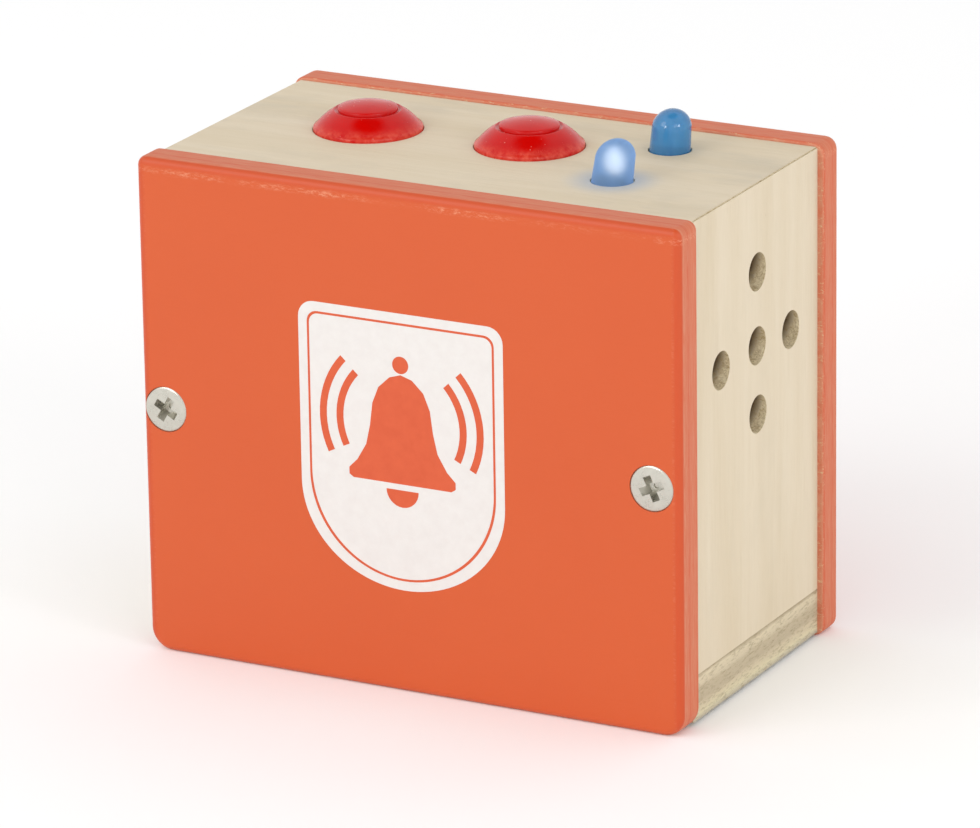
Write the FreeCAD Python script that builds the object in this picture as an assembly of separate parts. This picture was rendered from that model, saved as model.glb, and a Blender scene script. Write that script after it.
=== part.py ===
import FreeCAD, Part
import math
import os

from FreeCAD import Vector

# A wooden play fire alarm box: a plywood case with two sprung push buttons, two lamps, a
# loudspeaker behind five sound holes, a switch board and a battery holder.
#
# Millimetres. +Z is up, the front plate faces -Y and +X is to the right of someone facing it.
# The origin is on the surface the box stands on, under the middle of the case.

# ---------------------------------------------------------------- driving dimensions
# case
plate_width = 77.0            # front and back plates, along X
plate_height = 66.5           # along Z
plate_thickness = 4.6
plate_side_overhang = 0.9     # how far the plates stand proud of the frame at each side
plate_top_overhang = 0.4
plate_bottom_overhang = 0.55
front_top_corner = 1.25       # corner radii of the front plate
front_bottom_corner = 3.0
back_corner = 1.6             # all four corners of the back plate
plate_outer_round = 1.0       # rounding of the outward arris of a plate
plate_inner_round = 0.35      # rounding of the arris that meets the frame
panel_thickness = 6.0         # the four panels of the frame
frame_depth = 36.6            # along Y, between the two plates
mitre_ease = 0.12             # rounding along the mitred arrises

# wood screws that hold the plates
plate_screw_insets = (3.4, 4.2)       # of the left and right screw from the plate's edge
plate_screw_heights = (33.1, 32.6)    # above the ground
plate_screw_length = 16.0
plate_screw_turns = (-30.0, 24.0)     # degrees: how the left and right recess are turned
screw_head_radius = 3.0
screw_head_rim = 0.25         # straight rim above the countersunk cone
screw_thread_radius = 1.5
screw_core_radius = 1.05
screw_pitch = 1.35

# cross recess of every screw, as shares of its head's radius
recess_span = 1.12
recess_width = 0.28
recess_depth = 0.5
recess_floor_span = 0.62
recess_well_top = 0.26
recess_well_bottom = 0.12
recess_well_depth = 0.56

# push buttons
button_places = {"left": (-18.3, 1.8), "right": (4.2, 3.4)}
button_radius = 7.0
button_rim_height = 0.4       # straight band above the panel
button_rim_round = 0.3
button_crown = 3.1            # rise of the dome above the band
button_pad_radius = 3.65      # raised disc on the crown
button_pad_step = 0.2
button_pad_crown = 0.7
button_wall = 1.2
button_flange_width = 0.9     # keeps the button from coming out
button_flange_thickness = 0.95
button_flange_gap = 0.05      # rest clearance under the top panel
button_stem_radius = 2.0
button_travel = 1.2
button_hole_clearance = 0.2

# rubber switch dome and its contact pill
dome_foot_radius = 6.0
dome_foot_thickness = 0.5
dome_web = 0.5
dome_head_radius = 2.6
dome_head_thickness = 1.2
pill_radius = 1.8
pill_thickness = 0.9
pill_air_gap = 0.1            # left under the pill when the button is fully down

# lamps
lamp_places = {"front": (20.7, -6.0), "rear": (21.2, 9.3)}
lamp_base_radius = 2.68
lamp_taper = 0.2              # the lens narrows by this much up to its crown
lamp_crown = 2.0
lamp_length = 8.6             # flange and lens
lamp_stand = 5.4              # height above the top panel
lamp_flange_width = 0.27
lamp_flange_thickness = 1.0
lamp_hole_clearance = 0.15
lead_side = 0.5
lead_pitch = 2.54
lead_tail = 1.0               # below the board
lead_reach = 3.9              # up into the lens
cathode_cup = (0.95, 1.0)     # reach towards the middle, and height, of each lead's head
anode_flag = (0.55, 0.7)

# switch board
board_gap = 5.9               # from the top panel down to the board
board_thickness = 1.6
board_left_gap = 1.2          # from the left side panel to the board
board_right_gap = 6.5         # room for the loudspeaker
board_half_depth = 14.0
spacer_radius = 2.5
spacer_bore = 1.2
spacer_x = (-26.5, 12.6)
spacer_y = 11.0
board_screw_radius = 1.1
board_screw_bite = 4.5        # into the top panel
board_screw_head_radius = 2.1
board_screw_head_height = 1.5
chip_radius = 5.0
chip_height = 1.7
capacitor_radius = 2.5
capacitor_length = 7.0
capacitor_place = (-6.5, -8.5)
resistor_radius = 0.9
resistor_length = 3.6
resistor_count = 3
resistor_pitch = 3.2
resistor_wire_radius = 0.25
resistor_wire_reach = 1.2     # from the body to the bend
resistor_lift = 0.2           # between the body and the board
transistor_radius = 2.3
transistor_height = 4.5
transistor_leg = 1.5
transistor_leg_side = 0.4
transistor_leg_pitch = 1.27
transistor_flat = 1.3         # from the middle of the can to its flat side
transistor_place = (-6.5, -1.5)

# sound holes and loudspeaker
speaker_top_gap = 1.3         # from the top panel down to the loudspeaker
sound_hole_radius = 2.5
sound_hole_offsets = ((0.5, 0.0), (10.3, -0.7), (-9.9, -0.2), (0.6, 9.7), (0.7, -9.1))
speaker_radius = 14.0
gasket_thickness = 0.8
gasket_width = 1.1
surround_thickness = 0.2
surround_land = 0.3           # flat rim each side of the rolled part
surround_roll = 0.55          # height of the rolled part
basket_thickness = 0.6
basket_flange_width = 2.4
basket_depth = 2.4
basket_vent_radius = 1.2
basket_vent_angles = (45.0, 135.0, 225.0, 315.0)
cone_edge_gap = 0.3           # between the cone and the basket wall
cone_thickness = 0.3
cone_depth = 1.1
cone_setback = 0.1            # the cone's edge lies this much behind the gasket
cone_neck = 0.2               # flat rim of the cone each side of the coil
dust_dome_setback = 0.2       # the dust dome lies this much behind the cone's edge
coil_inner_radius = 5.4
coil_thickness = 0.5
coil_length = 2.0
coil_inner_gap = 0.3          # between the coil and the pole plate inside it
coil_outer_gap = 0.5          # between the coil and the yoke round it
pole_thickness = 0.8
magnet_setback = 0.2          # the magnet is this much smaller than the pole plate
magnet_thickness = 1.2
yoke_wall = 0.9
yoke_floor = 0.7
speaker_screw_angles = (30.0, 150.0, 270.0)
speaker_screw_head_radius = 2.0
speaker_screw_head_height = 1.4
speaker_screw_radius = 1.0
speaker_screw_bite = 4.0
speaker_screw_gap = 0.2       # between the screw and the rim of the basket
terminal_size = (0.8, 6.4, 3.0)

# battery holder and three cells
cell_radius = 5.2
cell_length = 43.7            # without the contact nub
cell_edge_round = 0.4
cell_nub_radius = 1.9
cell_nub_length = 0.8
cell_clearance = 0.15         # between a cell and the tray
holder_wall = 1.2
holder_lip = 0.45             # the tray's walls stand this much above the cells
holder_x = -3.4
holder_floor_gap = 0.15       # from the bottom panel up to the tray
holder_rib = 0.6
holder_rib_height = 5.0
holder_scoop = (28.0, 5.0)    # length and depth of the finger recess in the long walls
contact_thickness = 0.4
contact_setback = 0.9         # a contact is this much inside the outline of its cell
contact_tab_reach = 2.5       # of the two solder tabs, in front of the tray
contact_tab_width = 2.4
cell_spring_length = 4.6
cell_spring_wire = 0.3
cell_spring_base_radius = 3.3
cell_spring_tip_radius = 2.2
cell_spring_turns = 3.5
holder_screw_offset = 15.0
holder_screw_radius = 1.0
holder_screw_head_radius = 2.0
holder_screw_head_rim = 0.2
holder_screw_core_radius = 0.75
holder_screw_pitch = 0.8
holder_screw_length = 5.0

# wiring
wire_radius = 0.6
wire_bend_share = 0.45        # how much of the shorter run a bend takes up

# fits
running_gap = 0.05            # radial gap round every screw and lead
overshoot = 1.0               # how far a cutting tool reaches past the face it opens
same_place = 1e-6

# ---------------------------------------------------------------- sizes that follow
frame_width = plate_width - 2 * plate_side_overhang
frame_bottom = plate_bottom_overhang
frame_top = plate_height - plate_top_overhang
inner_left = -frame_width / 2 + panel_thickness
inner_right = frame_width / 2 - panel_thickness
inner_floor = frame_bottom + panel_thickness
inner_ceiling = frame_top - panel_thickness
frame_front = -frame_depth / 2
frame_back = frame_depth / 2
front_face = frame_front - plate_thickness
back_face = frame_back + plate_thickness

board_top = inner_ceiling - board_gap
board_bottom = board_top - board_thickness
board_left = inner_left + board_left_gap
board_right = inner_right - board_right_gap
button_flange_radius = button_radius + button_flange_width
dome_height = dome_head_thickness + pill_thickness + button_travel + pill_air_gap
lamp_top_radius = lamp_base_radius - lamp_taper
lamp_flange_radius = lamp_base_radius + lamp_flange_width
button_hole_radius = button_radius + button_hole_clearance
lamp_hole_radius = lamp_base_radius + lamp_hole_clearance
lamp_bottom = frame_top + lamp_stand - lamp_length
lamp_pocket_radius = lamp_flange_radius + lamp_hole_clearance
lamp_pocket_top = lamp_bottom + lamp_flange_thickness + running_gap
stem_bottom = board_top + dome_height

speaker_height = inner_ceiling - speaker_top_gap - speaker_radius
gasket_inner_radius = speaker_radius - gasket_width
basket_wall_radius = speaker_radius - basket_flange_width
pole_radius = coil_inner_radius - coil_inner_gap
magnet_radius = pole_radius - magnet_setback
yoke_inner_radius = coil_inner_radius + coil_thickness + coil_outer_gap

cell_pitch = 2 * (cell_radius + cell_clearance) + holder_rib
holder_depth = holder_wall + cell_clearance + 2 * cell_radius + holder_lip
holder_inner_length = cell_length + cell_nub_length + cell_spring_length + 2 * contact_thickness
holder_left = holder_x - holder_inner_length / 2 - holder_wall
holder_right = holder_x + holder_inner_length / 2 + holder_wall
holder_front = frame_back - holder_depth
holder_floor = frame_back - holder_wall
holder_half_height = cell_pitch + cell_radius + cell_clearance + holder_wall
holder_z = inner_floor + holder_floor_gap + holder_half_height
cell_y = holder_floor - cell_radius - cell_clearance
contact_half = cell_radius - contact_setback

nodes = {}


# ---------------------------------------------------------------- helpers
def line(a, b):
    return Part.LineSegment(Vector(a[0], 0, a[1]), Vector(b[0], 0, b[1])).toShape()


def arc(a, middle, b):
    return Part.Arc(*[Vector(p[0], 0, p[1]) for p in (a, middle, b)]).toShape()


def eased(a, corner, b):
    """Arc from a to b that rounds off the corner between them."""
    return arc(a, ((a[0] + 2 * corner[0] + b[0]) / 4, (a[1] + 2 * corner[1] + b[1]) / 4), b)


def crown_arc(outer, inner):
    """Arc of a sphere centred on the axis, from a point at some radius to a point nearer the axis."""
    (r1, z1), (r2, z2) = outer, inner
    centre = (r2 ** 2 + z2 ** 2 - r1 ** 2 - z1 ** 2) / (2 * (z2 - z1))
    radius = math.hypot(r1, z1 - centre)
    side = 1 if z2 > centre else -1
    middle = (r1 + r2) / 2
    return arc(outer, (middle, centre + side * math.sqrt(radius ** 2 - middle ** 2)), inner)


def turned(edges):
    """Solid of revolution about Z from a closed outline of (radius, height) edges."""
    face = Part.Face(Part.Wire(Part.__sortEdges__(edges)))
    return face.revolve(Vector(0, 0, 0), Vector(0, 0, 1), 360)


def turned_polygon(points):
    return turned([line(a, b) for a, b in zip(points, points[1:] + points[:1])])


def ring(outer, inner, bottom, top):
    return turned_polygon([(inner, bottom), (outer, bottom), (outer, top), (inner, top)])


def box(x0, x1, y0, y1, z0, z1):
    return Part.makeBox(x1 - x0, y1 - y0, z1 - z0, Vector(x0, y0, z0))


def cylinder(radius, start, end):
    start, end = Vector(*start), Vector(*end)
    return Part.makeCylinder(radius, (end - start).Length, start, end - start)


def placed(shape, x, y, z):
    moved = shape.copy()
    moved.translate(Vector(x, y, z))
    return moved


def facing(shape, direction):
    """Turns a shape that points along +Z so that it points along direction."""
    turned_shape = shape.copy()
    turned_shape.Placement = FreeCAD.Placement(
        Vector(0, 0, 0), FreeCAD.Rotation(Vector(0, 0, 1), Vector(*direction)))
    return turned_shape


def prism_along_y(points, y0, y1):
    """Straight-sided solid from an outline of (x, z) points."""
    outline = Part.makePolygon([Vector(x, y0, z) for x, z in points + points[:1]])
    return Part.Face(outline).extrude(Vector(0, y1 - y0, 0))


def one_solid(shape):
    return shape.removeSplitter().Solids[0]


def keep(name, *solids):
    nodes[name] = list(solids)


# ---------------------------------------------------------------- screws
def threaded_shank(top, length, thread, core, pitch):
    """Outline of a pointed threaded shank below z = top, as (radius, height) points from top to tip."""
    points = [(core, top)]
    z = top - pitch / 2
    point_length = 2 * thread
    while z - pitch > top - length + point_length:
        points += [(core, z + pitch / 4), (thread, z), (core, z - pitch / 4)]
        z -= pitch
    return points + [(core, z), (0, top - length)]


def cross_recess(head_radius):
    """Tool for a cross recess in a face at z = 0."""
    top, floor = recess_span * head_radius / 2, recess_floor_span * head_radius / 2
    depth = recess_depth * head_radius
    half_width = recess_width * head_radius / 2
    wing = prism_along_y([(-top, overshoot), (top, overshoot), (floor, -depth), (-floor, -depth)],
                         -half_width, half_width)
    other = wing.copy()
    other.rotate(Vector(0, 0, 0), Vector(0, 0, 1), 90)
    well = Part.makeCone(recess_well_top * head_radius, recess_well_bottom * head_radius,
                         recess_well_depth * head_radius, Vector(0, 0, 0), Vector(0, 0, -1))
    return wing.fuse([other, well])


def countersunk_screw(head_radius, rim, thread, core, pitch, length, turn):
    """Countersunk wood screw with its face at z = 0 and its point downwards."""
    cone_end = -(rim + head_radius - core)
    outline = [(0, 0), (head_radius, 0), (head_radius, -rim)]
    outline += threaded_shank(cone_end, length + cone_end, thread, core, pitch)
    screw = turned_polygon(outline)
    screw = screw.cut(cross_recess(head_radius))
    screw.rotate(Vector(0, 0, 0), Vector(0, 0, 1), turn)
    return one_solid(screw)


def countersunk_hole(head_radius, rim, shank_radius, length):
    """Tool for the hole of a countersunk screw whose face is at z = 0."""
    head = head_radius + running_gap
    cone_end = -(rim + head - shank_radius)
    return turned_polygon([(0, overshoot), (head, overshoot), (head, -rim), (shank_radius, cone_end),
                           (shank_radius, -length - running_gap), (0, -length - running_gap)])


def pan_screw(head_radius, head_height, shank_radius, length):
    """Pan-head screw: the head stands above z = 0 and the plain shank below it."""
    dome = [line((0, -length), (shank_radius, -length + shank_radius)),
            line((shank_radius, -length + shank_radius), (shank_radius, 0)),
            line((shank_radius, 0), (head_radius, 0)),
            line((head_radius, 0), (head_radius, head_height / 2)),
            crown_arc((head_radius, head_height / 2), (0, head_height)),
            line((0, head_height), (0, -length))]
    recess = placed(cross_recess(head_radius), 0, 0, head_height)
    return one_solid(turned(dome).cut(recess))


# ---------------------------------------------------------------- case
def rounded_plate(y_inner, y_outer, radii):
    """Plate with corner radii (top left, top right, bottom right, bottom left) and softened arrises."""
    half, top = plate_width / 2, plate_height
    top_left, top_right, bottom_right, bottom_left = radii
    corners = [((-half, top), top_left, (1, -1)), ((half, top), top_right, (-1, -1)),
               ((half, 0), bottom_right, (-1, 1)), ((-half, 0), bottom_left, (1, 1))]
    stations = []
    for (x, z), radius, (sx, sz) in corners:
        cx, cz = x + sx * radius, z + sz * radius
        on_side, on_end = (x, cz), (cx, z)
        diagonal = (cx - sx * radius * math.sqrt(0.5), cz - sz * radius * math.sqrt(0.5))
        enters_from_side = sx * sz < 0
        first, last = (on_side, on_end) if enters_from_side else (on_end, on_side)
        stations.append((first, diagonal, last))
    edges = []
    for station, following in zip(stations, stations[1:] + stations[:1]):
        edges += [arc(*station), line(station[2], following[0])]
    outline = Part.Wire(Part.__sortEdges__(edges))
    outline.translate(Vector(0, y_inner, 0))
    plate = Part.Face(outline).extrude(Vector(0, y_outer - y_inner, 0))
    for level, radius in ((y_outer, plate_outer_round), (y_inner, plate_inner_round)):
        rim = [e for e in plate.Edges
               if all(abs(v.Point.y - level) < same_place for v in e.Vertexes)]
        plate = plate.makeFillet(radius, rim)
    return plate


def plate_screw_places():
    """(x, height, turn) of the left and the right screw of a plate."""
    left, right = plate_screw_insets
    across = (left - plate_width / 2, plate_width / 2 - right)
    return list(zip(across, plate_screw_heights, plate_screw_turns))


def plate_and_screws(name, radii, y_inner, y_outer):
    outward = (0, -1, 0) if y_outer < 0 else (0, 1, 0)
    plate = rounded_plate(y_inner, y_outer, radii)
    screws = []
    for x, z, turn in plate_screw_places():
        hole = facing(countersunk_hole(screw_head_radius, screw_head_rim,
                                       screw_thread_radius + running_gap, plate_screw_length), outward)
        plate = plate.cut(placed(hole, x, y_outer, z))
        screw = facing(countersunk_screw(screw_head_radius, screw_head_rim, screw_thread_radius,
                                         screw_core_radius, screw_pitch, plate_screw_length, turn), outward)
        screws.append(placed(screw, x, y_outer, z))
    keep(name, one_solid(plate))
    keep(name + "_screws", *screws)


def plate_screw_pilot(side):
    """Tool for the two pilot holes in the front and back edges of one side panel."""
    depth = plate_screw_length - plate_thickness + running_gap
    x, z, _ = plate_screw_places()[0 if side < 0 else 1]
    radius = screw_thread_radius + running_gap
    front = cylinder(radius, (x, frame_front - overshoot, z), (x, frame_front + depth, z))
    back = cylinder(radius, (x, frame_back + overshoot, z), (x, frame_back - depth, z))
    return [front, back]


def side_panel(side):
    """Side panel: square at the bottom, where it stands on the bottom panel, and mitred at the top."""
    outer, inner = side * frame_width / 2, side * (frame_width / 2 - panel_thickness)
    outline = [(outer, inner_floor), (inner, inner_floor), (inner, inner_ceiling), (outer, frame_top)]
    panel = prism_along_y(outline, frame_front, frame_back)
    top_corner = Vector(outer, 0, frame_top)
    arris = [e for e in panel.Edges
             if all(math.hypot(v.Point.x - top_corner.x, v.Point.z - top_corner.z) < same_place
                    for v in e.Vertexes)]
    panel = panel.makeFillet(mitre_ease, arris)
    return panel.cut(plate_screw_pilot(side))


def right_side_panel():
    panel = side_panel(1)
    for y, z in sound_hole_offsets:
        panel = panel.cut(cylinder(sound_hole_radius, (inner_right - overshoot, y, speaker_height + z),
                                   (frame_width / 2 + overshoot, y, speaker_height + z)))
    for y, z in speaker_screw_places():
        panel = panel.cut(cylinder(speaker_screw_radius + running_gap, (inner_right - overshoot, y, z),
                                   (inner_right + speaker_screw_bite + running_gap, y, z)))
    return panel


def top_panel():
    half = frame_width / 2
    outline = [(-half, frame_top), (half, frame_top),
               (inner_right, inner_ceiling), (inner_left, inner_ceiling)]
    panel = prism_along_y(outline, frame_front, frame_back)
    arrises = [e for e in panel.Edges if all(abs(abs(v.Point.x) - half) < same_place for v in e.Vertexes)]
    panel = panel.makeFillet(mitre_ease, arrises)
    below, above = inner_ceiling - overshoot, frame_top + overshoot
    for x, y in button_places.values():
        panel = panel.cut(cylinder(button_hole_radius, (x, y, below), (x, y, above)))
    for x, y in lamp_places.values():
        panel = panel.cut(cylinder(lamp_hole_radius, (x, y, below), (x, y, above)))
        panel = panel.cut(cylinder(lamp_pocket_radius, (x, y, below), (x, y, lamp_pocket_top)))
    for x, y in spacer_places():
        panel = panel.cut(cylinder(board_screw_radius + running_gap, (x, y, below),
                                   (x, y, inner_ceiling + board_screw_bite + running_gap)))
    return panel


def make_case():
    plate_and_screws("front_plate", (front_top_corner, front_top_corner, front_bottom_corner,
                                     front_bottom_corner), frame_front, front_face)
    plate_and_screws("back_plate", (back_corner,) * 4, frame_back, back_face)
    pilots = [holder_screw_pilot(x) for x in holder_screw_places()]
    keep("back_plate", nodes["back_plate"][0].cut(pilots).Solids[0])
    keep("top_panel", one_solid(top_panel()))
    keep("bottom_panel", box(-frame_width / 2, frame_width / 2, frame_front, frame_back,
                             frame_bottom, inner_floor))
    keep("left_side_panel", one_solid(side_panel(-1)))
    keep("right_side_panel", one_solid(right_side_panel()))


# ---------------------------------------------------------------- buttons
def button_cap():
    """Hollow domed cap with a retaining flange and a central stem, heights from the top of the panel."""
    rim_top = button_rim_height
    crown_top = rim_top + button_crown
    sphere = (button_radius ** 2 + button_crown ** 2) / (2 * button_crown)
    centre = crown_top - sphere

    def dome(radius, inset=0.0):
        return centre + math.sqrt((sphere - inset) ** 2 - radius ** 2)

    pad_foot = (button_pad_radius, dome(button_pad_radius))
    pad_rim = (button_pad_radius, pad_foot[1] + button_pad_step)
    pad_top = (0, pad_rim[1] + button_pad_crown)
    round_start = (button_radius, rim_top - button_rim_round)
    round_end_radius = button_radius - button_rim_round
    round_end = (round_end_radius, dome(round_end_radius))
    skirt_inner = button_radius - button_wall
    flange_top = inner_ceiling - frame_top - button_flange_gap
    flange_bottom = flange_top - button_flange_thickness
    stem_end = stem_bottom - frame_top
    inside_rim = (skirt_inner, dome(skirt_inner, button_wall))
    inside_stem = (button_stem_radius, dome(button_stem_radius, button_wall))
    middle_radius = (skirt_inner + button_stem_radius) / 2
    return turned([
        crown_arc(pad_rim, pad_top), line(pad_rim, pad_foot),
        crown_arc(round_end, pad_foot), eased(round_end, (button_radius, rim_top), round_start),
        line(round_start, (button_radius, flange_top)),
        line((button_radius, flange_top), (button_flange_radius, flange_top)),
        line((button_flange_radius, flange_top), (button_flange_radius, flange_bottom)),
        line((button_flange_radius, flange_bottom), (skirt_inner, flange_bottom)),
        line((skirt_inner, flange_bottom), inside_rim),
        arc(inside_rim, (middle_radius, dome(middle_radius, button_wall)), inside_stem),
        line(inside_stem, (button_stem_radius, stem_end)),
        line((button_stem_radius, stem_end), (0, stem_end)),
        line((0, stem_end), pad_top),
    ])


def rubber_dome():
    """Silicone switch dome: a foot ring on the board, a thin conical web and a solid head."""
    head_bottom = dome_height - dome_head_thickness
    return turned_polygon([
        (0, dome_height), (dome_head_radius, dome_height), (dome_head_radius + dome_web, head_bottom),
        (dome_foot_radius - dome_web, dome_foot_thickness), (dome_foot_radius, dome_foot_thickness),
        (dome_foot_radius, 0), (dome_foot_radius - 2 * dome_web, 0), (dome_head_radius, head_bottom),
        (0, head_bottom)])


def make_buttons():
    for side, (x, y) in button_places.items():
        keep(f"button_cap_{side}", placed(button_cap(), x, y, frame_top))
        keep(f"switch_dome_{side}", placed(rubber_dome(), x, y, board_top))
        pill_top = board_top + dome_height - dome_head_thickness
        pill = cylinder(pill_radius, (x, y, pill_top - pill_thickness), (x, y, pill_top))
        keep(f"contact_pill_{side}", pill)


# ---------------------------------------------------------------- lamps
def lamp_lead_places(x):
    return (x - lead_pitch / 2, x + lead_pitch / 2)


def lamp_leads(lamp_x, y):
    """Cathode post with its reflector cup and anode post, both running down through the board."""
    solids = []
    half = lead_side / 2
    post_top = lamp_bottom + lead_reach
    for x, head in zip(lamp_lead_places(lamp_x), (cathode_cup, anode_flag)):
        inward = 1 if x < lamp_x else -1
        post = box(x - half, x + half, y - half, y + half, board_bottom - lead_tail, post_top)
        width, height = head
        tab = box(*sorted((x - inward * half, x + inward * width)), y - half, y + half,
                  post_top - height, post_top)
        solids.append(one_solid(post.fuse(tab)))
    return solids


def lamp_lens(x, y):
    lens_foot = lamp_flange_thickness
    shoulder = lamp_length - lamp_crown
    body = turned([
        line((0, 0), (lamp_flange_radius, 0)),
        line((lamp_flange_radius, 0), (lamp_flange_radius, lens_foot)),
        line((lamp_flange_radius, lens_foot), (lamp_base_radius, lens_foot)),
        line((lamp_base_radius, lens_foot), (lamp_top_radius, shoulder)),
        crown_arc((lamp_top_radius, shoulder), (0, lamp_length)),
        line((0, lamp_length), (0, 0))])
    return one_solid(placed(body, x, y, lamp_bottom).cut(lamp_leads(x, y)))


def lead_channel(x, y, bottom, top):
    half = lead_side / 2 + running_gap
    return box(x - half, x + half, y - half, y + half, bottom, top)


def lamp_standoff(x, y):
    tube = cylinder(lamp_flange_radius, (x, y, board_top), (x, y, lamp_bottom))
    for lead_x in lamp_lead_places(x):
        tube = tube.cut(lead_channel(lead_x, y, board_top, lamp_bottom))
    return one_solid(tube)


def make_lamps():
    standoffs = []
    for side, (x, y) in lamp_places.items():
        keep(f"lamp_lens_{side}", lamp_lens(x, y))
        keep(f"lamp_leads_{side}", *lamp_leads(x, y))
        standoffs.append(lamp_standoff(x, y))
    keep("lamp_standoffs", *standoffs)


# ---------------------------------------------------------------- switch board
def spacer_places():
    return [(x, y) for x in spacer_x for y in (-spacer_y, spacer_y)]


def make_board():
    board = box(board_left, board_right, -board_half_depth, board_half_depth, board_bottom, board_top)
    for lamp_x, y in lamp_places.values():
        for x in lamp_lead_places(lamp_x):
            board = board.cut(lead_channel(x, y, board_bottom, board_top))
    spacers, screws = [], []
    screw_length = board_thickness + board_gap + board_screw_bite
    screw = facing(pan_screw(board_screw_head_radius, board_screw_head_height, board_screw_radius,
                             screw_length), (0, 0, -1))
    for x, y in spacer_places():
        board = board.cut(cylinder(spacer_bore, (x, y, board_bottom), (x, y, board_top)))
        spacers.append(placed(ring(spacer_radius, spacer_bore, 0, board_gap), x, y, board_top))
        screws.append(placed(screw, x, y, board_bottom))
    keep("switch_board", board)
    keep("board_spacers", *spacers)
    keep("board_screws", *screws)
    chip = turned([line((0, 0), (chip_radius, 0)), crown_arc((chip_radius, 0), (0, chip_height)),
                   line((0, chip_height), (0, 0))])
    keep("sound_chip", placed(facing(chip, (0, 0, -1)), button_places["left"][0], 0, board_bottom))
    keep("capacitor", cylinder(capacitor_radius, (*capacitor_place, board_bottom),
                               (*capacitor_place, board_bottom - capacitor_length)))
    first_y = -(resistor_count - 1) * resistor_pitch / 2
    rows = [first_y + i * resistor_pitch for i in range(resistor_count)]
    keep("resistors", *[resistor(button_places["right"][0], y) for y in rows])
    keep("drive_transistor", transistor(*transistor_place))


def resistor(x, y):
    """Axial resistor lying under the board, its two wires bent up to the copper."""
    z = board_bottom - resistor_radius - resistor_lift
    reach = resistor_length / 2 + resistor_wire_reach
    body = cylinder(resistor_radius, (x - resistor_length / 2, y, z), (x + resistor_length / 2, y, z))
    parts = [cylinder(resistor_wire_radius, (x - reach, y, z), (x + reach, y, z))]
    for end in (-reach, reach):
        parts.append(cylinder(resistor_wire_radius, (x + end, y, z - resistor_wire_radius),
                              (x + end, y, board_bottom)))
    return one_solid(body.fuse(parts))


def transistor(x, y):
    """Small transistor can with one flat side, standing off the board on three legs."""
    top = board_bottom - transistor_leg
    can = cylinder(transistor_radius, (x, y, top), (x, y, top - transistor_height))
    can = can.cut(box(x - transistor_radius, x + transistor_radius, y + transistor_flat,
                      y + transistor_radius, top - transistor_height, top))
    half = transistor_leg_side / 2
    legs = [box(x + i * transistor_leg_pitch - half, x + i * transistor_leg_pitch + half, y - half, y + half,
                top - transistor_leg, board_bottom) for i in (-1, 0, 1)]
    return one_solid(can.fuse(legs))


# ---------------------------------------------------------------- loudspeaker
def on_speaker_axis(shape):
    """Moves a part drawn with z = depth behind the right panel onto the loudspeaker's axis."""
    return placed(facing(shape, (-1, 0, 0)), inner_right, 0, speaker_height)


def speaker_screw_places():
    reach = speaker_radius + speaker_screw_radius + speaker_screw_gap
    return [(reach * math.cos(math.radians(a)), speaker_height + reach * math.sin(math.radians(a)))
            for a in speaker_screw_angles]


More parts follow.
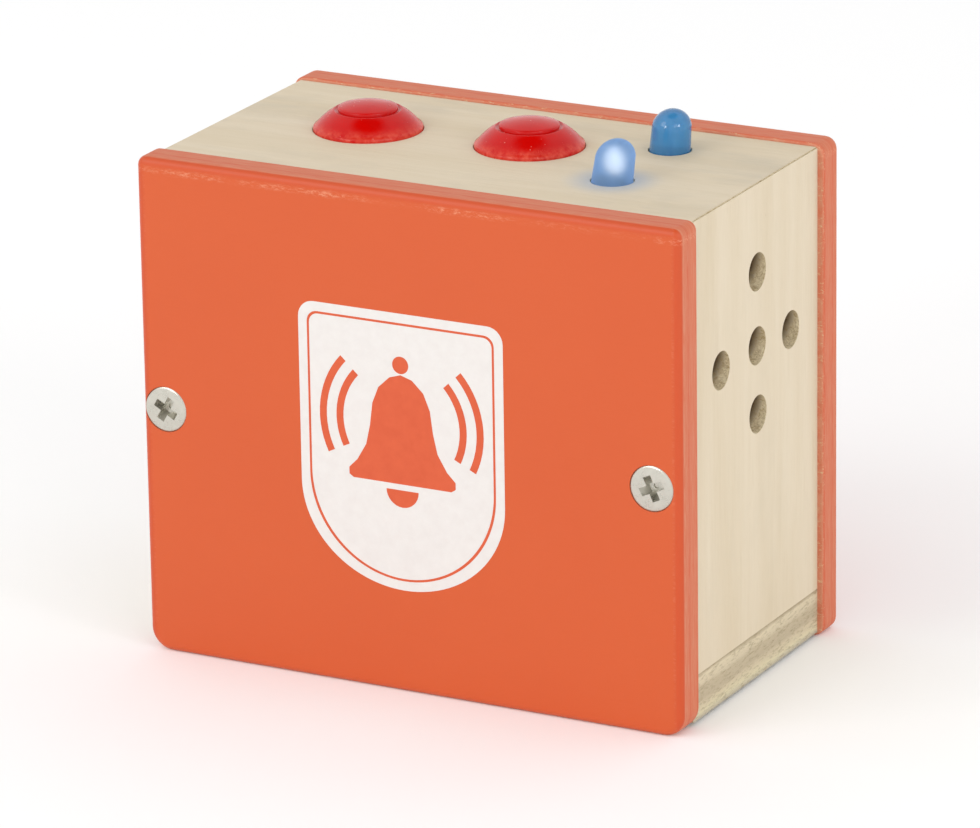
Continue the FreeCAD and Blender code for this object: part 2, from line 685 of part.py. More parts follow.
def make_speaker():
    flange_front = gasket_thickness + surround_thickness
    flange_rear = flange_front + basket_thickness
    back_front = flange_front + basket_depth - basket_thickness
    back_rear = flange_front + basket_depth
    wall_inner = basket_wall_radius - basket_thickness
    yoke_outer = yoke_inner_radius + yoke_wall

    keep("speaker_gasket", on_speaker_axis(ring(speaker_radius, gasket_inner_radius, 0, gasket_thickness)))
    roll_inner, roll_outer = wall_inner + surround_land, gasket_inner_radius - surround_land
    roll_middle = ((roll_inner + roll_outer) / 2, gasket_thickness - surround_roll)
    keep("speaker_surround", on_speaker_axis(turned([
        line((wall_inner, flange_front), (speaker_radius, flange_front)),
        line((speaker_radius, flange_front), (speaker_radius, gasket_thickness)),
        line((speaker_radius, gasket_thickness), (roll_outer, gasket_thickness)),
        arc((roll_outer, gasket_thickness), roll_middle, (roll_inner, gasket_thickness)),
        line((roll_inner, gasket_thickness), (wall_inner, gasket_thickness)),
        line((wall_inner, gasket_thickness), (wall_inner, flange_front))])))

    basket = turned_polygon([
        (wall_inner, flange_front), (speaker_radius, flange_front), (speaker_radius, flange_rear),
        (basket_wall_radius, flange_rear), (basket_wall_radius, back_rear), (yoke_outer, back_rear),
        (yoke_outer, back_front), (wall_inner, back_front)])
    vent_ring_radius = (yoke_outer + wall_inner) / 2
    for angle in basket_vent_angles:
        vent = cylinder(basket_vent_radius, (vent_ring_radius, 0, back_front - overshoot),
                        (vent_ring_radius, 0, back_rear + overshoot))
        vent.rotate(Vector(0, 0, 0), Vector(0, 0, 1), angle)
        basket = basket.cut(vent)
    keep("speaker_basket", one_solid(on_speaker_axis(basket)))

    pole_front = back_front
    magnet_front = pole_front + pole_thickness
    floor_front = magnet_front + magnet_thickness
    floor_rear = floor_front + yoke_floor
    keep("speaker_pole_plate", on_speaker_axis(turned_polygon(
        [(0, pole_front), (pole_radius, pole_front), (pole_radius, magnet_front), (0, magnet_front)])))
    keep("speaker_magnet", on_speaker_axis(turned_polygon(
        [(0, magnet_front), (magnet_radius, magnet_front), (magnet_radius, floor_front), (0, floor_front)])))
    keep("speaker_yoke", on_speaker_axis(turned_polygon(
        [(yoke_inner_radius, pole_front), (yoke_outer, pole_front), (yoke_outer, floor_rear),
         (0, floor_rear), (0, floor_front), (yoke_inner_radius, floor_front)])))

    # cone, its dust dome and the coil under it, which move together
    cone_outer = wall_inner - cone_edge_gap
    neck_outer, neck_inner = coil_inner_radius + coil_thickness + cone_neck, coil_inner_radius - cone_neck
    edge_front = gasket_thickness + cone_setback
    edge_rear = edge_front + cone_thickness
    neck_rear = edge_front + cone_depth
    neck_front = neck_rear - cone_thickness
    cap_front = edge_front + dust_dome_setback
    cap_rear = cap_front + cone_thickness
    keep("speaker_cone", on_speaker_axis(turned([
        line((cone_outer, edge_front), (neck_outer, neck_front)),
        line((neck_outer, neck_front), (neck_inner, neck_front)),
        crown_arc((neck_inner, neck_front), (0, cap_front)),
        line((0, cap_front), (0, cap_rear)),
        crown_arc((neck_inner, neck_rear), (0, cap_rear)),
        line((neck_inner, neck_rear), (neck_outer, neck_rear)),
        line((neck_outer, neck_rear), (cone_outer, edge_rear)),
        line((cone_outer, edge_rear), (cone_outer, edge_front))])))
    keep("voice_coil", on_speaker_axis(ring(coil_inner_radius + coil_thickness, coil_inner_radius,
                                            neck_rear, neck_rear + coil_length)))

    depth, width, height = terminal_size
    z = speaker_height - vent_ring_radius
    x = inner_right - back_rear
    keep("speaker_terminals", box(x - depth, x, -width / 2, width / 2, z - height / 2, z + height / 2))

    screw = pan_screw(speaker_screw_head_radius, speaker_screw_head_height, speaker_screw_radius,
                      flange_rear + speaker_screw_bite)
    screw = facing(screw, (-1, 0, 0))
    screws = [placed(screw, inner_right - flange_rear, y, z) for y, z in speaker_screw_places()]
    keep("speaker_screws", *screws)


# ---------------------------------------------------------------- battery holder
def cell_heights():
    return [holder_z + i * cell_pitch for i in (1, 0, -1)]


def cell(z, nub_to_left):
    """One cell, lying along X, with its nub at the left or the right end."""
    half, shoulder = cell_length / 2, cell_radius - cell_edge_round
    straight = half - cell_edge_round
    nub_end = half + cell_nub_length
    body = turned([
        line((0, -half), (shoulder, -half)),
        eased((shoulder, -half), (cell_radius, -half), (cell_radius, -straight)),
        line((cell_radius, -straight), (cell_radius, straight)),
        eased((cell_radius, straight), (cell_radius, half), (shoulder, half)),
        line((shoulder, half), (cell_nub_radius, half)),
        line((cell_nub_radius, half), (cell_nub_radius, nub_end)),
        line((cell_nub_radius, nub_end), (0, nub_end)),
        line((0, nub_end), (0, -half))])
    direction = -1 if nub_to_left else 1
    plate = direction * (holder_inner_length / 2 - contact_thickness)
    middle = holder_x + plate - direction * nub_end
    return placed(facing(body, (direction, 0, 0)), middle, cell_y, z)


def cell_spring(z, at_left):
    """Conical coil spring between a contact plate and the flat end of a cell."""
    wire, height = cell_spring_wire, cell_spring_length - 2 * cell_spring_wire
    angle = math.degrees(math.atan2(cell_spring_tip_radius - cell_spring_base_radius, height))
    helix = Part.makeLongHelix(height / cell_spring_turns, height, cell_spring_base_radius, angle)
    section = Part.Wire(Part.makeCircle(wire, Vector(cell_spring_base_radius, 0, 0), Vector(0, 1, 0)))
    coil = Part.Wire(helix.Edges).makePipeShell([section], True, True)
    direction = 1 if at_left else -1
    x = holder_x - direction * (holder_inner_length / 2 - contact_thickness - wire)
    return placed(facing(coil, (direction, 0, 0)), x, cell_y, z)


def holder_tray():
    low, high = holder_z - holder_half_height, holder_z + holder_half_height
    tray = box(holder_left, holder_right, holder_front, frame_back, low, high)
    tray = tray.cut(box(holder_left + holder_wall, holder_right - holder_wall, holder_front - overshoot,
                        holder_floor, low + holder_wall, high - holder_wall))
    # the long walls are cut down in the middle so that a finger can lift a cell
    scoop_length, scoop_depth = holder_scoop
    scoop = box(holder_x - scoop_length / 2, holder_x + scoop_length / 2, holder_front - overshoot,
                holder_front + scoop_depth, low - overshoot, high + overshoot)
    tray = tray.cut(scoop)
    for side in (-0.5, 0.5):
        z = holder_z + side * cell_pitch
        rib = box(holder_left + holder_wall, holder_right - holder_wall, holder_floor - holder_rib_height,
                  holder_floor, z - holder_rib / 2, z + holder_rib / 2)
        for end in (holder_left + holder_wall, holder_right - holder_wall - contact_thickness):
            rib = rib.cut(box(end, end + contact_thickness, holder_front, frame_back,
                              z - holder_rib, z + holder_rib))
        tray = tray.fuse(rib)
    for x in holder_screw_places():
        hole = facing(countersunk_hole(holder_screw_head_radius, holder_screw_head_rim,
                                       holder_screw_radius + running_gap, holder_screw_length), (0, -1, 0))
        tray = tray.cut(placed(hole, x, holder_floor, holder_z))
    return one_solid(tray)


def holder_screw_places():
    return (holder_x - holder_screw_offset, holder_x + holder_screw_offset)


def holder_screw_pilot(x):
    """Tool for the pilot hole of one holder screw in the back plate."""
    return cylinder(holder_screw_radius + running_gap, (x, frame_back - overshoot, holder_z),
                    (x, holder_floor + holder_screw_length + running_gap, holder_z))


def contact_plate(cells, at_left):
    """Steel contact that links two neighbouring cells, or serves one cell and has a solder tab."""
    heights = [cell_heights()[i] for i in cells]
    low, high = min(heights) - contact_half, max(heights) + contact_half
    wall = holder_x - holder_inner_length / 2 if at_left else holder_x + holder_inner_length / 2
    x0, x1 = sorted((wall, wall + (contact_thickness if at_left else -contact_thickness)))
    plate = box(x0, x1, cell_y - contact_half, cell_y + contact_half, low, high)
    if len(cells) == 1:
        tab = box(x0, x1, holder_front - contact_tab_reach, cell_y - contact_half,
                  heights[0] - contact_tab_width / 2, heights[0] + contact_tab_width / 2)
        plate = one_solid(plate.fuse(tab))
    return plate


def make_battery_holder():
    screw = facing(countersunk_screw(holder_screw_head_radius, holder_screw_head_rim, holder_screw_radius,
                                     holder_screw_core_radius, holder_screw_pitch, holder_screw_length, 0),
                   (0, -1, 0))
    keep("battery_holder", holder_tray())
    keep("battery_holder_screws", *[placed(screw, x, holder_floor, holder_z) for x in holder_screw_places()])
    nub_left = (True, False, True)
    for name, z, left in zip(("upper", "middle", "lower"), cell_heights(), nub_left):
        keep(f"battery_cell_{name}", cell(z, left))
    keep("battery_springs", *[cell_spring(z, not left) for z, left in zip(cell_heights(), nub_left)])
    keep("battery_contacts", contact_plate((0,), True), contact_plate((1, 2), True),
         contact_plate((0, 1), False), contact_plate((2,), False))


# ---------------------------------------------------------------- wiring
def wire(route):
    """Insulated wire: straight runs joined by tangent arcs that are as large as the runs allow."""
    points = [Vector(*p) for p in route]
    edges, start = [], points[0]
    for before, corner, after in zip(points, points[1:], points[2:]):
        arriving, leaving = corner - before, after - corner
        shorter = min(arriving.Length, leaving.Length)
        cut = wire_bend_share * shorter
        arriving.normalize()
        leaving.normalize()
        arc_start, arc_end = corner - arriving * cut, corner + leaving * cut
        bisector = leaving - arriving
        bisector.normalize()
        turn = arriving.getAngle(leaving)
        radius = cut / math.tan(turn / 2)
        arc_middle = corner + bisector * (radius / math.cos(turn / 2) - radius)
        edges.append(Part.LineSegment(start, arc_start).toShape())
        edges.append(Part.Arc(arc_start, arc_middle, arc_end).toShape())
        start = arc_end
    edges.append(Part.LineSegment(start, points[-1]).toShape())
    section = Part.Wire(Part.makeCircle(wire_radius, points[0], points[1] - points[0]))
    return Part.Wire(edges).makePipeShell([section], True, True)


def make_wiring():
    # each battery lead starts on a solder tab, crosses in front of the cells and rises to the board
    upper, _, lower = cell_heights()
    tab_y = holder_front - contact_tab_reach / 2
    red_x = holder_x - holder_inner_length / 2 + contact_thickness
    rise = board_bottom - upper
    keep("battery_wire_red", wire([
        (red_x, tab_y, upper), (red_x + 2.2, tab_y, upper),
        (red_x + 2.8, tab_y - 1.2, upper + 0.22 * rise), (red_x + 2.4, tab_y - 4.4, upper + 0.66 * rise),
        (red_x + 2.4, tab_y - 4.4, board_bottom)]))
    black_x = holder_x + holder_inner_length / 2 - contact_thickness
    keep("battery_wire_black", wire([
        (black_x, tab_y, lower), (black_x - 2.6, tab_y, lower), (black_x - 4.2, tab_y - 1.0, lower + 3.6),
        (black_x - 5.4, 2.0, lower + 12.0), (black_x - 8.0, 0.4, lower + 22.0),
        (black_x - 8.6, -0.5, lower + 31.0), (black_x - 8.6, -0.5, board_bottom)]))
    terminal = nodes["speaker_terminals"][0].BoundBox
    middle = (terminal.ZMin + terminal.ZMax) / 2
    speaker_wires = []
    for y, shift in ((-1.8, -5.0), (1.8, -2.0)):
        speaker_wires.append(wire([
            (terminal.XMin, y, middle), (terminal.XMin - 2.4, y, middle),
            (terminal.XMin - 4.4, y + shift / 2, middle + 5.0),
            (terminal.XMin - 4.4, y + shift, middle + 10.0),
            (terminal.XMin - 4.4, y + shift, board_bottom)]))
    keep("speaker_wires", *speaker_wires)


def main():
    os.makedirs("parts", exist_ok=True)
    make_battery_holder()
    make_case()
    make_buttons()
    make_lamps()
    make_board()
    make_speaker()
    make_wiring()
    for name, solids in nodes.items():
        shape = solids[0] if len(solids) == 1 else Part.makeCompound(solids)
        if not shape.isValid():
            print("not valid:", name)
        shape.exportStep(os.path.join("parts", name + ".step"))
    print(len(nodes), "nodes,", sum(len(s) for s in nodes.values()), "solids")


main()
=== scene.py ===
import math

import bmesh
import bpy
from mathutils import Matrix, Vector


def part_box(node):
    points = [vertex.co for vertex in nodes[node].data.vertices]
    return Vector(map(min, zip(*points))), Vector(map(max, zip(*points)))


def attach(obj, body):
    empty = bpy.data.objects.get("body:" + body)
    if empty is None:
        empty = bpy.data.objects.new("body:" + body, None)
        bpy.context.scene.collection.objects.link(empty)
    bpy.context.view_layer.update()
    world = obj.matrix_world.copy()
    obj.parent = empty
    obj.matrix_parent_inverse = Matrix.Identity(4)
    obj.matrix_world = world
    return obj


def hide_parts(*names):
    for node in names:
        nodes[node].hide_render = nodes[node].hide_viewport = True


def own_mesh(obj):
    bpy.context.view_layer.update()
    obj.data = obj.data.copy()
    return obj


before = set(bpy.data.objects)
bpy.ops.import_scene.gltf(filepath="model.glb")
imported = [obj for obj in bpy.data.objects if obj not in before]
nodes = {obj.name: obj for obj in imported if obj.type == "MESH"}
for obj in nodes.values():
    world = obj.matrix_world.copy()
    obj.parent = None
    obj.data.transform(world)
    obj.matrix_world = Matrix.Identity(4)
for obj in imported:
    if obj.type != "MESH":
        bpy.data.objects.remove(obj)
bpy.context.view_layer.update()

mm = 0.001
print("frame loaded:", len(nodes), "nodes")


def linear(hexColour):
    channels = [int(hexColour[i:i + 2], 16) / 255 for i in (0, 2, 4)]
    return tuple(c / 12.92 if c <= 0.04045 else ((c + 0.055) / 1.055) ** 2.4 for c in channels) + (1.0,)


def spread(start, end, count):
    return [start + (end - start) * i / (count - 1) for i in range(count)]


def addNode(tree, kind, links=None, **settings):
    # links sets each input, by name or number, to a value or to the output that feeds it
    made = tree.nodes.new(kind)
    for name, value in settings.items():
        setattr(made, name, value)
    for key, value in (links or {}).items():
        if isinstance(value, bpy.types.NodeSocket):
            tree.links.new(value, made.inputs[key])
        else:
            made.inputs[key].default_value = value
    return made


def newMaterial(name):
    material = bpy.data.materials.new(name)
    material.use_nodes = True
    material.node_tree.nodes.clear()
    return material, material.node_tree


def placeOf(tree):
    # a point's place in mm, and the way its surface faces
    place = addNode(tree, "ShaderNodeTexCoord")
    inMm = addNode(tree, "ShaderNodeVectorMath", {0: place.outputs["Object"], "Scale": 1 / mm},
                   operation="SCALE")
    return inMm.outputs[0], place.outputs["Normal"]


def split(tree, vector):
    return addNode(tree, "ShaderNodeSeparateXYZ", {0: vector}).outputs


def calc(tree, operation, *values):
    return addNode(tree, "ShaderNodeMath", dict(enumerate(values)), operation=operation).outputs[0]


def remap(tree, value, start, end, low=0.0, high=1.0, eased=False):
    # low where value is start, high where it is end, and held beyond both
    made = addNode(tree, "ShaderNodeMapRange", {
        "Value": value, "From Min": start, "From Max": end, "To Min": low, "To Max": high})
    if eased:
        made.interpolation_type = "SMOOTHSTEP"
    return made.outputs[0]


def noise(tree, place, scale=1.0, detail=2.0, rough=0.5, distortion=0.0, stretch=None):
    if stretch:
        place = addNode(tree, "ShaderNodeMapping", {"Vector": place, "Scale": stretch}).outputs[0]
    return addNode(tree, "ShaderNodeTexNoise", {
        "Vector": place, "Scale": scale, "Detail": detail, "Roughness": rough,
        "Distortion": distortion}).outputs["Fac"]


def blend(tree, share, under, over):
    # share of over on top of under; each is a hex colour or an output
    under, over = (linear(tone) if isinstance(tone, str) else tone for tone in (under, over))
    return addNode(tree, "ShaderNodeMix", {0: share, 6: under, 7: over}, data_type="RGBA").outputs[2]


def ramp(tree, share, stops, hard=False):
    made = addNode(tree, "ShaderNodeValToRGB", {0: share})
    elements = made.color_ramp.elements
    made.color_ramp.interpolation = "CONSTANT" if hard else "LINEAR"
    while len(elements) < len(stops):
        elements.new(0.5)
    for element, (position, colour) in zip(elements, stops):
        element.position = position
        element.color = linear(colour)
    return made.outputs[0]


def finishMaterial(tree, colour, rough, height, strength, depth, **extra):
    # height is drawn as relief of that strength, depth metres high
    relief = addNode(tree, "ShaderNodeBump", {"Strength": strength, "Distance": depth, "Height": height})
    shader = addNode(tree, "ShaderNodeBsdfPrincipled", {
        "Base Color": colour, "Roughness": rough, "Normal": relief.outputs[0], **extra})
    addNode(tree, "ShaderNodeOutputMaterial", {"Surface": shader.outputs[0]})


def dress(names, material):
    for name in names:
        for slot in nodes[name].material_slots:
            slot.material = material


def newObject(name, data):
    made = bpy.data.objects.new(name, data)
    bpy.context.scene.collection.objects.link(made)
    return made


def newPiece(name, mesh, material, smooth=True):
    piece = newObject(name, mesh)
    mesh.materials.clear()
    mesh.materials.append(material)
    if smooth:
        mesh.shade_smooth()
    return piece


def evaluated(holder, name):
    # the object's finished shape as a plain mesh of its own
    bpy.context.view_layer.update()
    made = holder.evaluated_get(bpy.context.evaluated_depsgraph_get())
    mesh = bpy.data.meshes.new_from_object(made)
    mesh.name = name
    return mesh


def turnedMesh(name, outline, middle=None, steps=96):
    # outline is (radius, height) in mm, turned about the upright axis through middle
    work = bmesh.new()
    across, along = (middle.x, middle.y) if middle else (0, 0)
    rings = []
    for radius, height in outline:
        if radius < 1e-6:
            rings.append([work.verts.new((across, along, height * mm))])
        else:
            reach, angles = radius * mm, [2 * math.pi * i / steps for i in range(steps)]
            rings.append([work.verts.new((across + reach * math.cos(a), along + reach * math.sin(a),
                                          height * mm)) for a in angles])
    for lower, upper in zip(rings, rings[1:]):
        for i in range(steps):
            j = (i + 1) % steps
            corners = dict.fromkeys([lower[i % len(lower)], lower[j % len(lower)],
                                     upper[j % len(upper)], upper[i % len(upper)]])
            if len(corners) > 2:
                work.faces.new(list(corners))
    bmesh.ops.remove_doubles(work, verts=work.verts, dist=1e-7)
    bmesh.ops.recalc_face_normals(work, faces=work.faces)
    mesh = bpy.data.meshes.new(name)
    work.to_mesh(mesh)
    work.free()
    return mesh


def sharpenByAngle(mesh, degrees):
    mesh.set_sharp_from_angle(angle=math.radians(degrees))


# angles in degrees, place, focal length and sensor in mm, shift in widths, nearest in metres
view = {"azimuth": 28.08, "elevation": 18.45, "roll": -0.905, "place": (398.24, -750.90, 314.01),
        "focal": 255.89, "sensor": 36, "shift": (0.0146, 0.0012), "nearest": 0.01}


def addCamera():
    turn, rise, roll = (math.radians(view[k]) for k in ("azimuth", "elevation", "roll"))
    back = Vector((math.sin(turn) * math.cos(rise), -math.cos(turn) * math.cos(rise), math.sin(rise)))
    side = Vector((0, 0, 1)).cross(back).normalized()
    up = back.cross(side)
    right = side * math.cos(roll) + up * math.sin(roll)
    top = up * math.cos(roll) - side * math.sin(roll)
    camera = bpy.data.cameras.new("studioCamera")
    camera.sensor_width = view["sensor"]
    camera.lens = view["focal"]
    camera.shift_x, camera.shift_y = view["shift"]
    camera.clip_start = view["nearest"]
    holder = newObject("studioCamera", camera)
    axes = Matrix((right, top, back)).transposed().to_4x4()
    holder.matrix_world = Matrix.Translation(Vector(view["place"]) * mm) @ axes
    bpy.context.scene.camera = holder


addCamera()
print("camera placed")


# Satin acrylic paint over sanded plywood: flat and even on the faces, thirsty and paler on the
# cut edges, where the plies drink the paint, and rubbed thin in flecks just inside the top arris.
# A zone is where a pattern's value starts and ends it, then its strength at each.
paint = {"face": "CC5520", "faceLow": "C8501D", "edge": "CC6E4B", "edgePale": "CD8567", "edgeDeep": "C95B36",
         # thick is the deeper orange of the painted shade near the arrises
         "fleck": "E39A76", "bareWood": "D6BC93", "thick": "C44512",
         "roughFace": 0.42, "roughEdge": 0.62, "ior": 1.49, "relief": (0.18, 0.00012), "grainShare": 0.6,
         "fleckHigh": 2.0, "wander": 0.22,
         "cloud": {"scale": 0.045, "detail": 3.0}, "skin": {"scale": 1.1, "detail": 3.0},
         "streak": {"stretch": (0.35, 5.0, 0.35), "detail": 5.0, "rough": 0.65},
         "crumb": {"stretch": (0.8, 2.4, 3.0), "scale": 1.3, "detail": 7.0, "rough": 0.8},
         "runs": {"stretch": (0.09, 0.0, 0.02)}, "grain": {"stretch": (0.12, 1.0, 2.2), "detail": 4.0},
         "plies": ((0.0, "edgePale"), (0.035, "edgeDeep"), (0.16, "edge"), (0.5, "edge"), (0.56, "edgeDeep"),
                   (0.63, "edge"), (0.8, "edge"), (0.87, "edgePale"), (0.95, "edge"), (1.0, "face")),
         "faceZone": (0.2, 0.5), "tintZone": (0.5, 0.68, 0.0, 0.6), "thirstZone": (0.48, 0.34, 0.0, 0.5),
         "arrisShadeZone": (1.4, 0.8, 0.0, 0.75), "crumbZone": (0.49, 0.62), "runZone": (0.4, 0.56, 0.15, 0.85),
         "chipDepth": (0.1, 0.03), "chipZone": (0.57, 0.63), "lineCore": 0.1,
         "topLine": (1.6, 0.6, 0.9), "sideLine": (1.15, 0.25, 0.2)}  # mm from the arris, half width, strength


def orangePaintOnPlywood(name, plateInner, plateOuter, plateHalf, plateTop):
    material, tree = newMaterial(name)
    inMm, facing = placeOf(tree)
    at = split(tree, inMm)
    outward = calc(tree, "MULTIPLY", split(tree, facing)["Y"], calc(tree, "SIGN", at["Y"]))
    onFace = remap(tree, outward, *paint["faceZone"], eased=True)
    face = blend(tree, noise(tree, inMm, **paint["cloud"]), paint["faceLow"], paint["face"])
    # cut edges: bands of ply across the thickness, and streaks that run along them
    depth = remap(tree, calc(tree, "ABSOLUTE", at["Y"]), plateInner, plateOuter)
    streak = noise(tree, inMm, **paint["streak"])
    wander = calc(tree, "MULTIPLY_ADD", streak, paint["wander"], -paint["wander"] / 2)
    stops = [(place, paint[tone]) for place, tone in paint["plies"]]
    plies = ramp(tree, calc(tree, "ADD", depth, wander), stops)
    paler = blend(tree, remap(tree, streak, *paint["tintZone"]), plies, paint["edgePale"])
    edge = blend(tree, remap(tree, streak, *paint["thirstZone"]), paler, paint["edgeDeep"])
    # painted shade: within about 1.4 mm of the top and side arrises the face turns to a deeper orange, the
    # tone keyed thick
    fromTop = calc(tree, "SUBTRACT", plateTop, at["Z"])
    fromSide = calc(tree, "SUBTRACT", plateHalf, calc(tree, "ABSOLUTE", at["X"]))
    paintedArrisShade = remap(tree, calc(tree, "MINIMUM", fromTop, fromSide), *paint["arrisShadeZone"])
    painted = blend(tree, onFace, edge, blend(tree, paintedArrisShade, face, paint["thick"]))
    # the saw chipped the inner arris here and there, after painting
    crumb = noise(tree, inMm, **paint["crumb"])
    chipped = calc(tree, "MULTIPLY", remap(tree, depth, *paint["chipDepth"]),
                   remap(tree, crumb, *paint["chipZone"]))
    chips = blend(tree, chipped, painted, paint["bareWood"])
    # flecks of rubbed paint in a thin line inside the top arris, and a few down the sides
    rubbed = []
    for distance, (middle, width, strength) in ((fromTop, paint["topLine"]), (fromSide, paint["sideLine"])):
        near = calc(tree, "ABSOLUTE", calc(tree, "SUBTRACT", distance, middle))
        rubbed.append(remap(tree, near, width, paint["lineCore"], 0.0, strength))
    inRun = remap(tree, noise(tree, inMm, **paint["runs"]), *paint["runZone"])
    scattered = calc(tree, "MULTIPLY", calc(tree, "MAXIMUM", *rubbed), inRun)
    flecked = calc(tree, "MULTIPLY", scattered, remap(tree, crumb, *paint["crumbZone"]))
    colour = blend(tree, flecked, chips, paint["fleck"])
    # the film's own skin, and the grain of the ply that shows through it as relief
    skin = calc(tree, "MULTIPLY_ADD", noise(tree, inMm, **paint["grain"]), paint["grainShare"],
                noise(tree, inMm, **paint["skin"]))
    height = calc(tree, "MULTIPLY_ADD", flecked, paint["fleckHigh"], skin)
    rough = remap(tree, onFace, 0.0, 1.0, paint["roughEdge"], paint["roughFace"])
    finishMaterial(tree, colour, rough, height, *paint["relief"], IOR=paint["ior"])
    return material


# Unvarnished basswood plywood, sanded fine: straight pale grain, short dark pores along it, dull.
# Where a drill or saw crosses it, the wood is torn into short fibres; painted light lifts some of them paler
# than the face, and painted shade darkens them deeper in.
veneer = {"light": "DACCB4", "warm": "D1C1A5", "streak": "C1B08D", "pore": "A08F6C", "smudge": "B3AB9A",
          # in cuts, the palest tone is painted light and the deepest is painted shade
          "dash": "978767", "borePaintedLight": "FFEFCB", "boreDark": "BFA471", "boreShadeTone": "6B5030",
          "rough": 0.68, "ior": 1.45, "relief": (0.6, 0.0005), "fibreHigh": 0.25,
          # each layer: its scale along and across the grain, where it starts and ends, strength and tone
          "layers": {"figure": (0.012, 0.14, 0.35, 0.68, 1.0, "warm"),
                     "fibre": (0.13, 1.7, 0.5, 0.8, 0.17, "streak"),
                     "pores": (0.55, 5.0, 0.68, 0.8, 0.5, "pore"),
                     "stain": (0.07, 0.13, 0.52, 0.75, 1.0, "smudge")},
          "texture": {"detail": 5.0, "rough": 0.58, "distortion": 0.4},
          "torn": {"scale": 1.7, "detail": 8.0, "rough": 0.8, "distortion": 1.2}, "tornZone": (0.38, 0.58),
          # the upper-wall weight and the zone after it set where that painted shade lies
          "ragged": 2.4, "upperWallShade": -0.9, "boreShadeZone": (1.9, 3.3), "faceZone": (0.3, 0.62),
          "halo": ("ADB6C0", 2.6, 7.0, 0.6),  # tone, from and to this far from the lit lamp in mm, strength
          "plies": ((0.0, "A8977A"), (0.1, "D8CAAC"), (0.24, "D2C4A7"), (0.34, "C2B396"), (0.58, "BEAF93"),
                    (0.68, "D0C1A3"), (0.86, "DACFAD"), (1.0, "B5AC98")),
          "warp": {"stretch": (0.5, 0.09, 0.9), "detail": 3.0}, "warpHigh": 0.8,
          "sawn": {"stretch": (1.0, 0.75, 3.2), "detail": 6.0, "rough": 0.7},
          "sawnZone": (0.5, 0.68, 0.0, 0.75), "sawnRelief": (0.6, 0.0003)}


def bareVeneer(name, grainAxis, faceAxis, surface, stained=0.0, litLamp=None):
    # surface is where the outer face lies along faceAxis, in mm; litLamp is the place of the lit lamp
    material, tree = newMaterial(name)
    inMm, normal = placeOf(tree)
    at, facing = split(tree, inMm), split(tree, normal)
    face, drawn = veneer["light"], {}
    for layer, (along, across, start, end, strength, tone) in veneer["layers"].items():
        stretch = [along if axis == grainAxis else across for axis in "XYZ"]
        drawn[layer] = noise(tree, inMm, stretch=stretch, **veneer["texture"])
        strength = stained if layer == "stain" else strength
        face = blend(tree, remap(tree, drawn[layer], start, end, 0.0, strength), face, veneer[tone])
    if litLamp:  # the lamp's blue light lies on the wood round its foot
        tone, near, far, strength = veneer["halo"]
        away = addNode(tree, "ShaderNodeVectorMath", {0: inMm, 1: litLamp}, operation="DISTANCE")
        reach = remap(tree, away.outputs["Value"], far, near, 0.0, strength, eased=True)
        face = blend(tree, reach, face, tone)
    # torn fibres in drilled and sawn surfaces, with painted light: their palest tone is brighter than the
    # face wood
    torn = noise(tree, inMm, **veneer["torn"])
    frayedAndPaintedLight = blend(tree, remap(tree, torn, *veneer["tornZone"]), veneer["boreDark"], veneer["borePaintedLight"])
    depth = calc(tree, "ABSOLUTE", calc(tree, "SUBTRACT", at[faceAxis], surface))
    ragged = calc(tree, "MULTIPLY_ADD", torn, veneer["ragged"], depth)
    # painted shade: the cut darkens with depth from the face, most on the upper wall of a level bore
    paintedBoreShade = calc(tree, "MULTIPLY_ADD", facing["Z"], veneer["upperWallShade"], ragged)
    cut = blend(tree, remap(tree, paintedBoreShade, *veneer["boreShadeZone"]), frayedAndPaintedLight, veneer["boreShadeTone"])
    onFace = remap(tree, calc(tree, "ABSOLUTE", facing[faceAxis]), *veneer["faceZone"])
    colour = blend(tree, onFace, cut, face)
    flatHeight = calc(tree, "MULTIPLY", drawn["fibre"], veneer["fibreHigh"])
    height = addNode(tree, "ShaderNodeMix", {0: onFace, 2: torn, 3: flatHeight}, data_type="FLOAT").outputs[0]
    finishMaterial(tree, colour, veneer["rough"], height, *veneer["relief"], IOR=veneer["ior"])
    return material


def sawnPlyEdge(panelBottom, panelTop):
    # the bottom panel shows its edge: plies alternately along and across the saw
    material, tree = newMaterial("sawnPlywoodEdge")
    inMm = placeOf(tree)[0]
    warp = noise(tree, inMm, **veneer["warp"])
    wave = calc(tree, "MULTIPLY_ADD", warp, veneer["warpHigh"], -veneer["warpHigh"] / 2)
    level = calc(tree, "ADD", split(tree, inMm)["Z"], wave)
    plies = ramp(tree, remap(tree, level, panelTop, panelBottom), veneer["plies"])
    sawn = noise(tree, inMm, **veneer["sawn"])
    colour = blend(tree, remap(tree, sawn, *veneer["sawnZone"]), plies, veneer["dash"])
    finishMaterial(tree, colour, veneer["rough"], sawn, *veneer["sawnRelief"], IOR=veneer["ior"])
    return material


plateLow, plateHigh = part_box("front_plate")
baseLow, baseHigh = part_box("bottom_panel")
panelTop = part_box("top_panel")[1].z / mm
lensLow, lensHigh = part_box("lamp_lens_front")
lampFoot = ((lensLow.x + lensHigh.x) / 2 / mm, (lensLow.y + lensHigh.y) / 2 / mm, panelTop)
dress(("front_plate", "back_plate"),
      orangePaintOnPlywood("orangePaintOnPlywood", -plateHigh.y / mm, -plateLow.y / mm, plateHigh.x / mm,
                           plateHigh.z / mm))
dress(("top_panel",), bareVeneer("basswoodVeneerTop", "X", "Z", panelTop, stained=0.35, litLamp=lampFoot))
dress(("left_side_panel",), bareVeneer("basswoodVeneerLeft", "Z", "X", baseLow.x / mm, stained=0.1))
dress(("right_side_panel",), bareVeneer("basswoodVeneerRight", "Z", "X", baseHigh.x / mm, stained=0.1))
dress(("bottom_panel",), sawnPlyEdge(baseLow.z / mm, baseHigh.z / mm))
